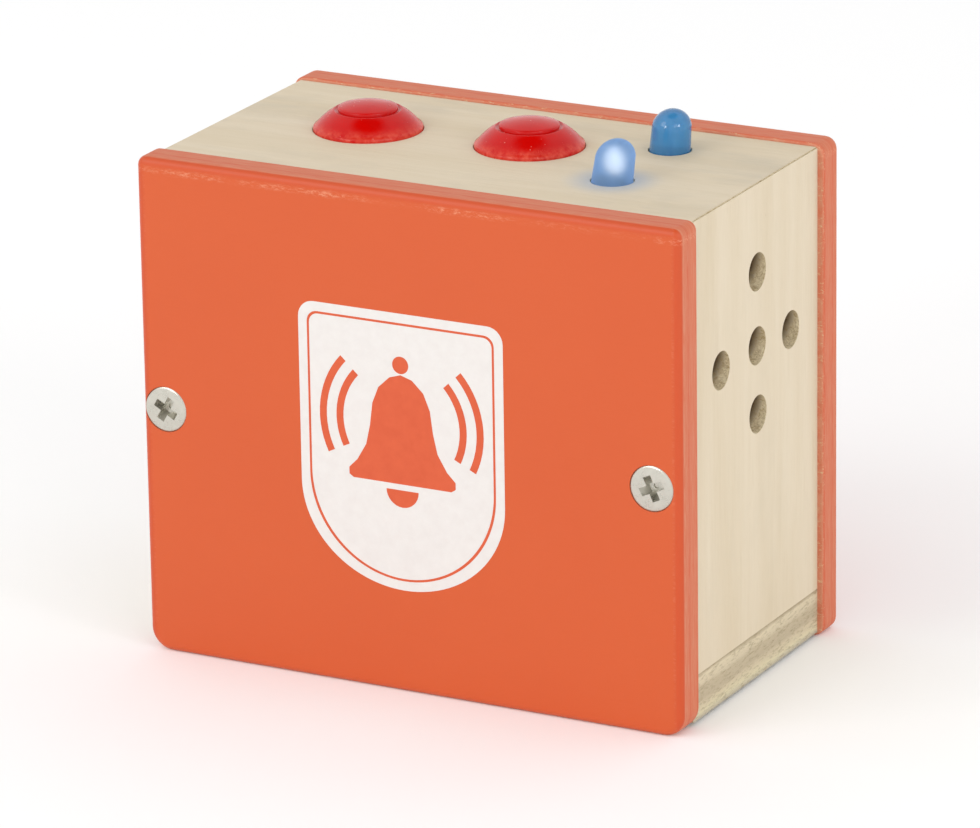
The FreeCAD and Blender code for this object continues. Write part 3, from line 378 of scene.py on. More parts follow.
print("case finished")


# what the plainer finishes share: zones of their patterns, and depth, their relief's height in metres
worked = {"grain": {"detail": 4.0, "rough": 0.6}, "toneZone": (0.32, 0.68), "roughZone": (0.3, 0.7),
          "roughSpread": 0.08, "smoothest": 0.02, "depth": 0.0002,
          "highlightPatches": {"scale": 0.9, "detail": 6.0, "rough": 0.7},
          "highlightPatchZone": (0.36, 0.66), "speckZone": (0.16, 0.07)}


def workedFinish(name, base, second, grainMm, rough, metallic=0.0, ior=1.5, bump=0.1,
                 specks=None, bands=None, paintedHighlightBand=None, stretch=(1.0, 1.0, 1.0), **extra):
    # two tones and a roughness that drift over grainMm, relief, and bands, specks or a painted highlight band
    # where asked for
    material, tree = newMaterial(name)
    inMm = placeOf(tree)[0]
    grain = noise(tree, inMm, scale=1.0 / grainMm, stretch=stretch, **worked["grain"])
    colour = blend(tree, remap(tree, grain, *worked["toneZone"]), base, second)
    if bands:
        axis, stops = bands  # heights in mm along one axis, each with the colour above it
        start, end = stops[0][0], stops[-1][0]
        share = remap(tree, split(tree, inMm)[axis], start, end)
        places = [(level - start) / (end - start) for level, _ in stops]
        tones = [tone for _, tone in stops]
        striped = ramp(tree, share, [(at, tone or "000000") for at, tone in zip(places, tones)], hard=True)
        held = ramp(tree, share, [(at, "FFFFFF" if tone else "000000") for at, tone in zip(places, tones)],
                    hard=True)
        colour = blend(tree, held, colour, striped)
    if paintedHighlightBand:
        tone, low, high, strength = paintedHighlightBand  # painted highlight: a patchy lighter band between two heights in mm
        fade = remap(tree, split(tree, inMm)["Z"], high, low, 0.0, strength, eased=True)
        highlightPatch = remap(tree, noise(tree, inMm, **worked["highlightPatches"]), *worked["highlightPatchZone"])
        colour = blend(tree, calc(tree, "MULTIPLY", fade, highlightPatch), colour, tone)
    if specks:
        tone, size, share = specks
        dust = addNode(tree, "ShaderNodeTexVoronoi", {"Vector": inMm, "Scale": 1.0 / size, "Randomness": 1.0})
        spot = remap(tree, dust.outputs["Distance"], *worked["speckZone"])
        pick = addNode(tree, "ShaderNodeSeparateColor", {0: dust.outputs["Color"]}).outputs[0]
        shown = calc(tree, "MULTIPLY", spot, calc(tree, "GREATER_THAN", pick, 1 - share))
        colour = blend(tree, shown, colour, tone)
    spreadBy, least = worked["roughSpread"], worked["smoothest"]
    roughness = remap(tree, grain, *worked["roughZone"], max(rough - spreadBy, least), rough + spreadBy)
    if not metallic:
        extra["IOR"] = ior
    finishMaterial(tree, colour, roughness, grain, bump, worked["depth"], Metallic=metallic, **extra)
    return material


# Injection-moulded ABS, semi-gloss, a little dusty: a dome with a disc pressed into its crown.
# The steps are (out, up) in mm; grooveRise is in shares of the groove's width and depth.
button = {"padRadius": 3.85, "padStep": 0.06, "padCrown": 0.66, "padEdge": ((-0.03, -0.02), (0.0, -0.07)),
          "padFlat": 0.1, "grooveWidth": 0.55, "grooveDepth": 0.42,
          "grooveFloor": ((0.02, 0.0), (0.12, -0.04)), "grooveRise": ((0.6, 0.55), (0.85, 0.12)),
          "bulge": 0.1, "radius": 7.1, "band": 0.2,
          "edgeRound": 0.3, "edge": ((-0.12, -0.09), (-0.03, -0.22), (0.0, -0.4)), "crown": 3.45, "wall": 1.2,
          "flange": 0.95, "flangeOut": 0.9, "flangeGap": 0.05, "stem": 2.0, "sharp": 50,
          "tones": ("C50502", "BE0401"), "dust": ("DE8F84", 0.6, 0.16), "shine": 0.22,
          "paintedHighlightBand": ("E0604A", 0.2, 1.6, 0.75)}  # painted highlight, strongest at the dome's foot: tone, from and to this far above the panel in mm, strength


def buttonOutline(panelTop, panelThick, stemEnd):
    radius, crown = button["radius"], button["crown"]
    sphere = (radius ** 2 + crown ** 2) / (2 * crown)
    centre = panelTop + button["band"] + crown - sphere

    def dome(r, inset=0.0):
        share = (r / radius) ** 2
        fullness = 4 * button["bulge"] * share * (1 - share)
        return centre + math.sqrt((sphere - inset) ** 2 - r ** 2) + fullness

    pad, padCrown = button["padRadius"], button["padCrown"]
    padRim = dome(pad) + button["padStep"]
    padTop = padRim + padCrown
    padSphere = (pad ** 2 + padCrown ** 2) / (2 * padCrown)
    points = [(r, padTop - padSphere + math.sqrt(padSphere ** 2 - r ** 2))
              for r in spread(0, pad - button["padFlat"], 14)]
    points += [(pad + out, padRim + up) for out, up in button["padEdge"]]
    width, depth = button["grooveWidth"], button["grooveDepth"]
    points += [(pad + out, dome(pad) - depth + up) for out, up in button["grooveFloor"]]
    points += [(pad + width * out, dome(pad + width * out) - depth * down)
               for out, down in button["grooveRise"]]
    bendRadius = radius - button["edgeRound"]
    points += [(r, dome(r)) for r in spread(pad + width, bendRadius, 22)]
    points += [(radius + out, dome(bendRadius) + up) for out, up in button["edge"]]
    flangeTop = panelTop - panelThick - button["flangeGap"]
    flangeFoot = flangeTop - button["flange"]
    outer, inner = radius + button["flangeOut"], radius - button["wall"]
    points += [(radius, flangeTop), (outer, flangeTop), (outer, flangeFoot), (inner, flangeFoot)]
    points += [(r, dome(r, button["wall"])) for r in spread(inner, button["stem"], 10)]
    return points + [(button["stem"], stemEnd), (0, stemEnd)]


def makeButtons():
    panelLow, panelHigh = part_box("top_panel")
    top = panelHigh.z / mm
    tone, start, end, strength = button["paintedHighlightBand"]
    red = workedFinish("redAbsMoulding", *button["tones"], grainMm=2.5, rough=0.2, ior=1.53, bump=0.04,
                       specks=button["dust"], paintedHighlightBand=(tone, top + start, top + end, strength),
                       **{"Specular IOR Level": button["shine"]})
    for side in ("left", "right"):
        low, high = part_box("button_cap_" + side)
        outline = buttonOutline(top, (panelHigh.z - panelLow.z) / mm, low.z / mm)
        mesh = turnedMesh("pushButton" + side.title(), outline, middle=(low + high) / 2)
        sharpenByAngle(mesh, button["sharp"])
        cap = newPiece(mesh.name, mesh, red)
        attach(cap, "button_" + side)
        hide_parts("button_cap_" + side)


makeButtons()
print("push buttons moulded")


# Five-millimetre lamps of cast epoxy, tinted blue: clear enough to show the glint of the leads,
# milky enough to hold the colour. The front one is lit.
lamp = {"flange": 2.95, "flangeHigh": 1.0, "base": 2.72, "top": 2.52, "crown": 2.1, "sharp": 40,
        "lean": {"front": (0.125, 0.05), "rear": (0.07, 0.025)},
        "off": ("3F94D6", "57A7E2"), "lit": ("7AA5D2", "88B0DA"), "glow": "86ACDC", "skinPower": 0.15,
        "cloud": {"stretch": (1.3, 1.3, 0.15), "scale": 0.8}, "relief": (0.05, 0.0002), "ior": 1.53,
        "offSkin": (0.12, 0.55), "litSkin": (0.75, 0.8),  # roughness and transmission
        "core": (0.95, 1.5), "coreUp": 2.5, "coreColour": "FFE2CC", "corePower": 1.4, "coreGrain": 900.0,
        "coreRange": (0.85, 1.1)}


def resin(name, tones, skin, **glow):
    material, tree = newMaterial(name)
    cloud = noise(tree, placeOf(tree)[0], **lamp["cloud"])
    rough, clear = skin
    finishMaterial(tree, blend(tree, cloud, *tones), rough, cloud, *lamp["relief"], IOR=lamp["ior"],
                   **{"Transmission Weight": clear}, **glow)
    return material


def makeLamps():
    glow = {"Emission Color": linear(lamp["glow"]), "Emission Strength": lamp["skinPower"]}
    looks = {"front": resin("blueEpoxyLit", lamp["lit"], lamp["litSkin"], **glow),
             "rear": resin("blueEpoxyUnlit", lamp["off"], lamp["offSkin"])}
    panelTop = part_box("top_panel")[1].z / mm
    for side, material in looks.items():
        low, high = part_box("lamp_lens_" + side)
        bottom, top = low.z / mm, high.z / mm
        flangeTop, shoulder = bottom + lamp["flangeHigh"], top - lamp["crown"]
        sphere = (lamp["top"] ** 2 + lamp["crown"] ** 2) / (2 * lamp["crown"])
        outline = [(r, top - sphere + math.sqrt(sphere ** 2 - r ** 2)) for r in spread(0, lamp["top"], 20)]
        outline += [(lamp["top"] + (lamp["base"] - lamp["top"]) * s, shoulder + (flangeTop - shoulder) * s)
                    for s in spread(0.08, 1, 8)]
        outline += [(lamp["flange"], flangeTop), (lamp["flange"], bottom), (0, bottom)]
        middle = (low + high) / 2
        mesh = turnedMesh("lampLens" + side.title(), outline, middle=middle)
        leanX, leanY = lamp["lean"][side]
        for vertex in mesh.vertices:  # bent over where it leaves the panel
            rise = max(vertex.co.z / mm - panelTop, 0) * mm
            vertex.co.x += leanX * rise
            vertex.co.y += leanY * rise
        sharpenByAngle(mesh, lamp["sharp"])
        lens = newPiece(mesh.name, mesh, material)
        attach(lens, "housing")
        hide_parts("lamp_lens_" + side)
        if side == "front":
            addCore(middle, panelTop, lamp["lean"][side])


def addCore(middle, panelTop, lean):
    # the glowing heart of the lit lamp: light scattered in the resin round its chip
    width, height = lamp["core"]
    tone = linear(lamp["coreColour"])
    material, tree = newMaterial("litPhosphorHeart")
    place = addNode(tree, "ShaderNodeTexCoord").outputs["Object"]
    shade = remap(tree, noise(tree, place, scale=lamp["coreGrain"]), 0.0, 1.0, *lamp["coreRange"])
    tinted = addNode(tree, "ShaderNodeVectorMath", {0: tone[:3], "Scale": shade}, operation="SCALE")
    shader = addNode(tree, "ShaderNodeBsdfPrincipled", {
        "Base Color": tone, "Emission Color": tinted.outputs[0], "Emission Strength": lamp["corePower"]})
    addNode(tree, "ShaderNodeOutputMaterial", {"Surface": shader.outputs[0]})
    centre = panelTop + lamp["coreUp"]
    outline = [(width * math.sin(t), centre + height * math.cos(t)) for t in spread(0, math.pi, 15)]
    shifted = middle + Vector((lean[0], lean[1], 0)) * lamp["coreUp"] * mm
    mesh = turnedMesh("lampHeartFront", outline, middle=shifted, steps=32)
    core = newPiece(mesh.name, mesh, material)
    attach(core, "housing")


makeLamps()
print("lamps cast")


# Cold-headed steel with bright zinc: a pale, slightly grey metal, brushed dull by handling.
# places are x, z and the turn of the recess; the recess and its well are in shares of the head.
screw = {"head": 3.0, "rim": 0.25, "core": 1.05, "thread": 1.5, "pitch": 1.35, "length": 16.0,
         "rimEdge": ((-0.34, 0.0), (-0.14, -0.04), (0.0, -0.16)), "sharp": 30,
         "places": ((-35.1, 33.1, -30.0), (34.3, 32.6, 24.0)),
         "recessSpan": 1.45, "recessWidth": 0.36, "recessDepth": 0.5, "recessFloor": 0.62,
         "wellTop": 0.26, "wellBottom": 0.12, "wellDepth": 0.56,
         "zinc": ("C4C1B6", "CECBC0"), "rough": 0.3, "metallic": 0.85}


def screwMesh():
    head, core, thread = screw["head"], screw["core"], screw["thread"]
    outline = [(0, 0)] + [(head + out, up) for out, up in screw["rimEdge"]]
    outline += [(head, -screw["rim"]), (core, -(screw["rim"] + head - core))]
    z = outline[-1][1] - screw["pitch"] / 2
    while z - screw["pitch"] > 2 * thread - screw["length"]:
        outline += [(core, z + screw["pitch"] / 4), (thread, z), (core, z - screw["pitch"] / 4)]
        z -= screw["pitch"]
    body = turnedMesh("woodScrewBody", outline + [(core, z), (0, -screw["length"])], steps=48)
    work = bmesh.new()
    span, floor = screw["recessSpan"] * head / 2, screw["recessFloor"] * head / 2
    deep, half = screw["recessDepth"] * head, screw["recessWidth"] * head / 2
    for quarter in (0, 1):
        turn = Matrix.Rotation(quarter * math.pi / 2, 3, "Z")
        corners = [turn @ Vector((x, y, z)) * mm for y in (-half, half)
                   for x, z in ((-span, 1), (span, 1), (floor, -deep), (-floor, -deep))]
        made = [work.verts.new(c) for c in corners]
        for face in ((0, 1, 2, 3), (7, 6, 5, 4), (0, 4, 5, 1), (1, 5, 6, 2), (2, 6, 7, 3), (3, 7, 4, 0)):
            work.faces.new([made[i] for i in face])
    bmesh.ops.recalc_face_normals(work, faces=work.faces)
    cross = bpy.data.meshes.new("crossTool")
    work.to_mesh(cross)
    work.free()
    well = turnedMesh("wellTool", [(0, 1), (screw["wellTop"] * head, 1), (screw["wellTop"] * head, 0),
                                   (screw["wellBottom"] * head, -screw["wellDepth"] * head),
                                   (0, -screw["wellDepth"] * head)], steps=24)
    holder = newObject("woodScrew", body)
    tools = []
    for mesh in (cross, well):
        tool = newObject(mesh.name, mesh)
        cut = holder.modifiers.new(mesh.name, "BOOLEAN")
        cut.operation, cut.solver, cut.object, cut.use_self = "DIFFERENCE", "EXACT", tool, True
        tools.append(tool)
    result = evaluated(holder, "woodScrew")
    for unused in tools + [holder]:
        bpy.data.objects.remove(unused)
    return result


def endTree(tree, geometry, material):
    # real geometry, because the export drops instances
    real = addNode(tree, "GeometryNodeRealizeInstances", {0: geometry})
    shaded = addNode(tree, "GeometryNodeSetMaterial", {"Geometry": real.outputs[0], "Material": material})
    addNode(tree, "NodeGroupOutput", {0: shaded.outputs[0]})
    return tree


def grown(holder, tree, name, sizes):
    # the tree's result on the holder, with its named inputs set, as one plain mesh
    modifier = holder.modifiers.new(name, "NODES")
    modifier.node_group = tree
    for item in tree.interface.items_tree:
        if item.name in sizes:
            modifier[item.identifier] = sizes[item.name]
    result = evaluated(holder, name)
    bpy.data.objects.remove(holder)
    return result


def instanceTree(name, source, material):
    # puts one copy of source on each point, turned about the axis that it faces along
    tree = bpy.data.node_groups.new(name, "GeometryNodeTree")
    tree.interface.new_socket("Geometry", in_out="INPUT", socket_type="NodeSocketGeometry")
    size = tree.interface.new_socket("Size", in_out="INPUT", socket_type="NodeSocketFloat")
    size.default_value = 1.0
    tree.interface.new_socket("Geometry", in_out="OUTPUT", socket_type="NodeSocketGeometry")
    given = addNode(tree, "NodeGroupInput")
    turn = addNode(tree, "GeometryNodeInputNamedAttribute", {"Name": "turned"}, data_type="FLOAT_VECTOR")
    thing = addNode(tree, "GeometryNodeObjectInfo", {"Object": source})
    points = addNode(tree, "GeometryNodeMeshToPoints", {"Mesh": given.outputs["Geometry"]})
    copies = addNode(tree, "GeometryNodeInstanceOnPoints", {
        "Points": points.outputs[0], "Instance": thing.outputs["Geometry"],
        "Rotation": turn.outputs["Attribute"], "Scale": given.outputs["Size"]})
    return endTree(tree, copies.outputs[0], material)


def setOn(name, spots, source, material):
    # spots are (place, rotation) pairs; the result is one plain mesh
    mesh = bpy.data.meshes.new(name + "Spots")
    mesh.from_pydata([place for place, _ in spots], [], [])
    turned = mesh.attributes.new("turned", "FLOAT_VECTOR", "POINT")
    for item, (_, rotation) in zip(turned.data, spots):
        item.vector = rotation
    return grown(newObject(name, mesh), instanceTree(name + "Tree", source, material), name, {"Size": 1.0})


def makePlateScrews():
    zinc = workedFinish("zincPlatedSteel", *screw["zinc"], grainMm=1.2, rough=screw["rough"],
                        metallic=screw["metallic"], bump=0.02)
    source = bpy.data.objects.new("woodScrewSource", screwMesh())
    for node, face in (("front_plate", -1), ("back_plate", 1)):
        low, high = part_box(node)
        y = low.y if face < 0 else high.y
        spots = [((x * mm, y, z * mm), Matrix.Rotation(-face * math.pi / 2, 3, "X")
                  @ Matrix.Rotation(math.radians(turn), 3, "Z")) for x, z, turn in screw["places"]]
        spots = [(place, tuple(matrix.to_euler())) for place, matrix in spots]
        name = ("frontPlate" if face < 0 else "backPlate") + "Screws"
        piece = newPiece(name, setOn(name, spots, source, zinc), zinc)
        sharpenByAngle(piece.data, screw["sharp"])
        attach(piece, "housing")
        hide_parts(node + "_screws")
    bpy.data.objects.remove(source)


makePlateScrews()
print("plate screws set")


# Nickel-plated spring wire, wound as a cone; wire is the wire's radius
spring = {"base": 3.3, "tip": 2.2, "turns": 3.5, "wire": 0.3, "length": 4.6, "perTurn": 40, "wireSides": 12,
          "tones": ("C2C1BA", "B2B0A8")}


def springTree(material, sizes):
    # a conical coil that a circle sweeps round
    tree = bpy.data.node_groups.new("coilSpring", "GeometryNodeTree")
    for name, value in sizes.items():
        tree.interface.new_socket(name, in_out="INPUT", socket_type="NodeSocketFloat").default_value = value
    tree.interface.new_socket("Geometry", in_out="OUTPUT", socket_type="NodeSocketGeometry")
    given = addNode(tree, "NodeGroupInput")
    inner = calc(tree, "SUBTRACT", given.outputs["Height"], 2 * spring["wire"] * mm)
    coil = addNode(tree, "GeometryNodeCurveSpiral", {
        "Resolution": spring["perTurn"], "Rotations": given.outputs["Turns"],
        "Start Radius": given.outputs["Base Radius"], "End Radius": given.outputs["Tip Radius"],
        "Height": inner})
    ring = addNode(tree, "GeometryNodeCurvePrimitiveCircle", {
        "Resolution": spring["wireSides"], "Radius": given.outputs["Wire"]})
    swept = addNode(tree, "GeometryNodeCurveToMesh", {
        "Curve": coil.outputs[0], "Profile Curve": ring.outputs["Curve"], "Fill Caps": True})
    return endTree(tree, swept.outputs[0], material)


def makeSprings():
    steel = workedFinish("nickelPlatedSpringSteel", *spring["tones"], grainMm=0.8, rough=0.25, metallic=1.0)
    sizes = {"Base Radius": spring["base"] * mm, "Tip Radius": spring["tip"] * mm, "Turns": spring["turns"],
             "Wire": spring["wire"] * mm, "Height": spring["length"] * mm}
    holder = newObject("coilSource", bpy.data.meshes.new("coilSource"))
    source = bpy.data.objects.new("coil", grown(holder, springTree(steel, sizes), "coil", sizes))
    low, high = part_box("battery_springs")
    spots = []
    for cell in ("upper", "middle", "lower"):
        cellLow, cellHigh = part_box("battery_cell_" + cell)
        middle = (cellLow + cellHigh) / 2
        atLeft = cellLow.x - low.x > high.x - cellHigh.x
        x = low.x + spring["wire"] * mm if atLeft else high.x - spring["wire"] * mm
        spots.append(((x, middle.y, middle.z), (0, math.radians(90 if atLeft else -90), 0)))
    piece = newPiece("batterySprings", setOn("batterySprings", spots, source, steel), steel)
    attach(piece, "housing")
    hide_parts("battery_springs")
    bpy.data.objects.remove(source)


makeSprings()

# Compression-moulded silicone: translucent white, matt, with a fine powdery skin
dome = {"foot": 6.0, "footHigh": 0.5, "web": 0.5, "head": 2.6, "headHigh": 1.2, "travel": 1.2, "sharp": 45,
        "headEdge": (0.15, 0.12), "neck": (0.6, 0.3), "footEdge": 0.1, "outerSag": 0.18, "innerSag": 0.12,
        "tones": ("E4E1DA", "D6D3CB")}


def makeDomes():
    silicone = workedFinish("mouldedSilicone", *dome["tones"], grainMm=0.6, rough=0.6, ior=1.41, bump=0.08,
                            **{"Subsurface Weight": 0.3, "Subsurface Scale": 0.001})
    for side in ("left", "right"):
        low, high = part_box("switch_dome_" + side)
        foot, web, head = dome["foot"], dome["web"], dome["head"]
        floor, top = low.z / mm, high.z / mm
        ceiling = top - dome["headHigh"]
        (edgeIn, edgeDown), (neckOut, neckUp), ease = dome["headEdge"], dome["neck"], dome["footEdge"]
        inner, footTop = foot - 2 * web, floor + dome["footHigh"]
        outline = [(0, top), (head - edgeIn, top), (head, top - edgeDown),
                   (head + web * neckOut, ceiling + neckUp), (head + web, ceiling)]
        outline += [(head + web + (foot - head - 2 * web) * s,
                     ceiling + (footTop - ceiling) * s + dome["outerSag"] * math.sin(math.pi * s))
                    for s in spread(0.1, 1, 9)]
        outline += [(foot - ease, footTop), (foot, footTop - ease), (foot, floor), (inner, floor)]
        outline += [(inner - (inner - head) * s,
                     floor + (ceiling - floor) * s + dome["innerSag"] * math.sin(math.pi * s))
                    for s in spread(0.1, 1, 9)]
        middle = (low + high) / 2
        mesh = turnedMesh("switchDome" + side.title(), outline + [(0, ceiling)], middle=middle)
        sharpenByAngle(mesh, dome["sharp"])
        soft = newPiece(mesh.name, mesh, silicone)
        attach(soft, "housing")
        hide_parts("switch_dome_" + side)
        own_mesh(soft)
    return silicone


silicone = makeDomes()
print("springs and domes made")


# Foam tape behind the panel, and the moulded roll that lets the cone move
speaker = {"gasket": (12.9, 14.0), "ease": 0.12, "surroundInner": 11.0, "land": 0.3, "roll": 0.55,
           "thick": 0.2, "foam": ("2B2B2D", "1E1E20"), "sharp": 50}


def alongX(mesh, place):
    # turns a piece made about Z so that its top looks towards +X, and puts it in place
    mesh.transform(Matrix.Translation(place) @ Matrix.Rotation(math.pi / 2, 4, "Y"))
    return mesh


def makeSpeakerSofts():
    foam = workedFinish("closedCellFoam", *speaker["foam"], grainMm=0.35, rough=0.85, ior=1.4, bump=0.5)
    low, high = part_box("speaker_gasket")
    depth = (high.x - low.x) / mm
    inner, outer = speaker["gasket"]
    ease = speaker["ease"]
    outline = [(inner, ease), (inner, depth - ease), (inner + ease, depth), (outer - ease, depth),
               (outer, depth - ease), (outer, ease), (outer - ease, 0), (inner + ease, 0), (inner, ease)]
    middle = (low + high) / 2
    mesh = alongX(turnedMesh("speakerGasket", outline), (low.x, middle.y, middle.z))
    gasket = newPiece(mesh.name, mesh, foam)
    low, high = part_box("speaker_surround")
    front = speaker["thick"]
    rollIn, rollOut = speaker["surroundInner"] + speaker["land"], inner - speaker["land"]
    span, centre = rollOut - rollIn, (rollIn + rollOut) / 2
    arch = [(centre + span / 2 * math.cos(t), front + speaker["roll"] * math.sin(t))
            for t in spread(0, math.pi, 15)]
    outline = [(outer, 0), (outer, front)] + arch + [(speaker["surroundInner"], front),
                                                     (speaker["surroundInner"], 0), (outer, 0)]
    mesh = alongX(turnedMesh("speakerSurround", outline), (low.x, middle.y, middle.z))
    surround = newPiece(mesh.name, mesh, silicone)
    for piece, node, slot in ((gasket, "speaker_gasket", "foam_tape"),
                              (surround, "speaker_surround", "silicone_rubber")):
        sharpenByAngle(piece.data, speaker["sharp"])
        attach(piece, "housing")
        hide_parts(node)


makeSpeakerSofts()
print("loudspeaker's soft pieces made")


# Screen-printed ink, white under orange: a plain label, rounded below, with a ringing bell, in mm
badge = {"left": -15.3, "right": 13.8, "top": 50.6, "bottom": 13.8, "corner": 2.2, "tail": 13.0,
         "whiteThick": 0.02, "orangeThick": 0.035, "inset": 1.25, "line": 0.3,
         "cornerShare": 0.6, "leastCorner": 0.4,
         "white": ("DEDAD6", "DAD5D1"), "orange": ("D0552A", "CB5026")}

# the bell's right half, its clapper and knob as (radius, height), and arcs of sound on each side
bell = {"x": -0.75, "top": 42.5, "clapper": (2.3, -15.3), "knob": (1.15, 1.3),
        "half": [(0.0, 0.0), (1.6, -0.5), (3.2, -2.0), (4.1, -4.2), (4.5, -7.2), (5.1, -9.8), (6.4, -12.0),
                 (7.6, -13.2), (7.6, -14.1), (7.0, -14.5), (0.0, -14.5)],
        "arcs": (8.3, 10.7), "arcWidth": 1.0, "arcUp": -6.5, "arcSweep": (-0.45, 0.75)}


def badgeLoop(inset):
    left, right = badge["left"] + inset, badge["right"] - inset
    top, bottom = badge["top"] - inset, badge["bottom"] + inset
    corner = max(badge["corner"] - inset * badge["cornerShare"], badge["leastCorner"])
    middle, half = (left + right) / 2, (right - left) / 2
    tail = badge["tail"]
    loop = [(left + corner - corner * math.cos(t), top - corner + corner * math.sin(t))
            for t in spread(0, math.pi / 2, 8)]
    loop += [(right - corner + corner * math.sin(t), top - corner + corner * math.cos(t))
             for t in spread(0, math.pi / 2, 8)]
    loop += [(middle + half * math.cos(t), bottom + tail - tail * math.sin(t))
             for t in spread(0, math.pi, 49)]
    return loop


def bellLoops():
    x, top, half = bell["x"], bell["top"], bell["half"]
    body = [(x + out, top + up) for out, up in half] + [(x - out, top + up) for out, up in half[-2:0:-1]]
    loops = [body]
    for (radius, up), sweep in ((bell["clapper"], spread(math.pi, 2 * math.pi, 17)),
                                (bell["knob"], spread(0, 2 * math.pi, 25)[:-1])):
        loops.append([(x + radius * math.cos(t), top + up + radius * math.sin(t)) for t in sweep])
    start, end = bell["arcSweep"]
    middle = top + bell["arcUp"]
    for side in (-1, 1):
        for reach in bell["arcs"]:
            loop = []
            for radius, sweep in ((reach + bell["arcWidth"], spread(start, end, 15)),
                                  (reach, spread(end, start, 15))):
                loop += [(x + side * radius * math.cos(t), middle + radius * math.sin(t)) for t in sweep]
            loops.append(loop)
    return loops


def printed(name, loops, thick, y, material):
    curve = bpy.data.curves.new(name, "CURVE")
    curve.dimensions = "2D"
    curve.fill_mode = "BOTH"
    curve.extrude = thick * mm / 2
    for loop in loops:
        spline = curve.splines.new("POLY")
        spline.points.add(len(loop) - 1)
        for point, (x, z) in zip(spline.points, loop):
            point.co = (x * mm, z * mm, 0, 1)
        spline.use_cyclic_u = True
    holder = newObject(name, curve)
    mesh = evaluated(holder, name)
    bpy.data.objects.remove(holder)
    mesh.transform(Matrix.Translation((0, y - thick * mm / 2, 0)) @ Matrix.Rotation(math.pi / 2, 4, "X"))
    work = bmesh.new()
    work.from_mesh(mesh)
    bmesh.ops.remove_doubles(work, verts=work.verts, dist=1e-7)
    bmesh.ops.recalc_face_normals(work, faces=work.faces)
    work.to_mesh(mesh)
    work.free()
    piece = newPiece(name, mesh, material, smooth=False)
    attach(piece, "housing")


def makeBadge():
    white = workedFinish("whiteScreenInk", *badge["white"], grainMm=1.4, rough=0.45, bump=0.04)
    orange = workedFinish("orangeScreenInk", *badge["orange"], grainMm=1.4, rough=0.45, bump=0.04)
    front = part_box("front_plate")[0].y
    printed("badgeGround", [badgeLoop(0)], badge["whiteThick"], front, white)
    line = [badgeLoop(badge["inset"]), badgeLoop(badge["inset"] + badge["line"])[::-1]]
    printed("badgeLine", line, badge["orangeThick"], front, orange)
    printed("badgeBell", bellLoops(), badge["orangeThick"], front, orange)


makeBadge()
print("badge printed")


# bands of colour along each resistor, from its middle, and along each cell from its two ends, in mm
resistorTones = ((-9, None), (-1.3, "6B3A1E"), (-0.95, None), (-0.55, "1A1A1A"), (-0.2, None),
                 (0.2, "B3261C"), (0.55, None), (1.0, "B8922E"), (1.35, None), (9, None))
sleeve = {"bare": 1.5, "long": "3E5A78", "shortFrom": 13.0, "short": "C7A24A"}


def resistorBands():
    low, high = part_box("resistors")
    middle = (low.x + high.x) / 2 / mm
    return [(middle + place, tone) for place, tone in resistorTones]


# each row: the finish, its nodes, two tones, then grain in mm, roughness and what else the real one shows
inside = [
    ("conductiveCarbonRubber", ("contact_pill_left", "contact_pill_right"), "1B1B1C", "262627",
     dict(grainMm=0.4, rough=0.8, bump=0.2)),
    ("tinnedCopperLead", ("lamp_leads_front", "lamp_leads_rear"), "C2C0BA", "AFADA6",
     dict(grainMm=0.5, rough=0.28, metallic=1.0)),
    ("mouldedNylon", ("lamp_standoffs", "board_spacers"), "E6E3DA", "DAD6CB",
     dict(grainMm=1.0, rough=0.5, ior=1.53, bump=0.06)),
    ("phenolicPaperBoard", ("switch_board", "speaker_terminals"), "A87A42", "8F6431",
     dict(grainMm=1.6, rough=0.45, ior=1.55, bump=0.12, stretch=(0.3, 1.5, 1.0))),
    ("pouredEpoxyBlob", ("sound_chip",), "121213", "1E1E1F",
     dict(grainMm=2.0, rough=0.3, ior=1.55, bump=0.15)),
    ("mouldedEpoxyCan", ("drive_transistor",), "161617", "202021",
     dict(grainMm=0.3, rough=0.6, ior=1.55, bump=0.2)),
    ("shrunkPvcSleeve", ("capacitor",), "1C2748", "26325A",
     dict(grainMm=2.0, rough=0.3, ior=1.53)),
    ("lacqueredCeramic", ("resistors",), "CDB284", "BFA374",
     dict(grainMm=1.0, rough=0.35, ior=1.52, bands=("X", resistorBands()))),
    ("pressedPaperPulp", ("speaker_cone",), "2C2A27", "3A3733",
     dict(grainMm=0.35, rough=0.9, ior=1.4, bump=0.5)),
    ("zincPlatedPressing", ("speaker_basket", "speaker_pole_plate", "speaker_yoke"), "ACAAA2", "98968F",
     dict(grainMm=1.5, rough=0.38, metallic=1.0)),
    ("nickelPlatedMagnet", ("speaker_magnet",), "C9C5BC", "B8B4AA",
     dict(grainMm=1.0, rough=0.2, metallic=1.0)),
    ("enamelledCopperWire", ("voice_coil",), "B4622C", "8E4519",
     dict(grainMm=0.2, rough=0.35, metallic=1.0, stretch=(6.0, 0.3, 0.3), bump=0.5)),
    ("turnedZincSteel", ("board_screws", "speaker_screws", "battery_holder_screws"), "A9A7A0", "BAB8B0",
     dict(grainMm=0.9, rough=0.38, metallic=1.0)),
    ("blackPvcSheath", ("speaker_wires", "battery_wire_black"), "161618", "202022",
     dict(grainMm=1.5, rough=0.4, ior=1.53)),
    ("redPvcSheath", ("battery_wire_red",), "B01D18", "9E1712",
     dict(grainMm=1.5, rough=0.4, ior=1.53)),
    ("blackMouldedHolder", ("battery_holder",), "19191B", "232326",
     dict(grainMm=0.8, rough=0.5, ior=1.53, bump=0.2)),
    ("stampedContactSteel", ("battery_contacts",), "BDB9AE", "A9A598",
     dict(grainMm=1.2, rough=0.3, metallic=1.0, stretch=(1.0, 1.0, 0.2))),
]


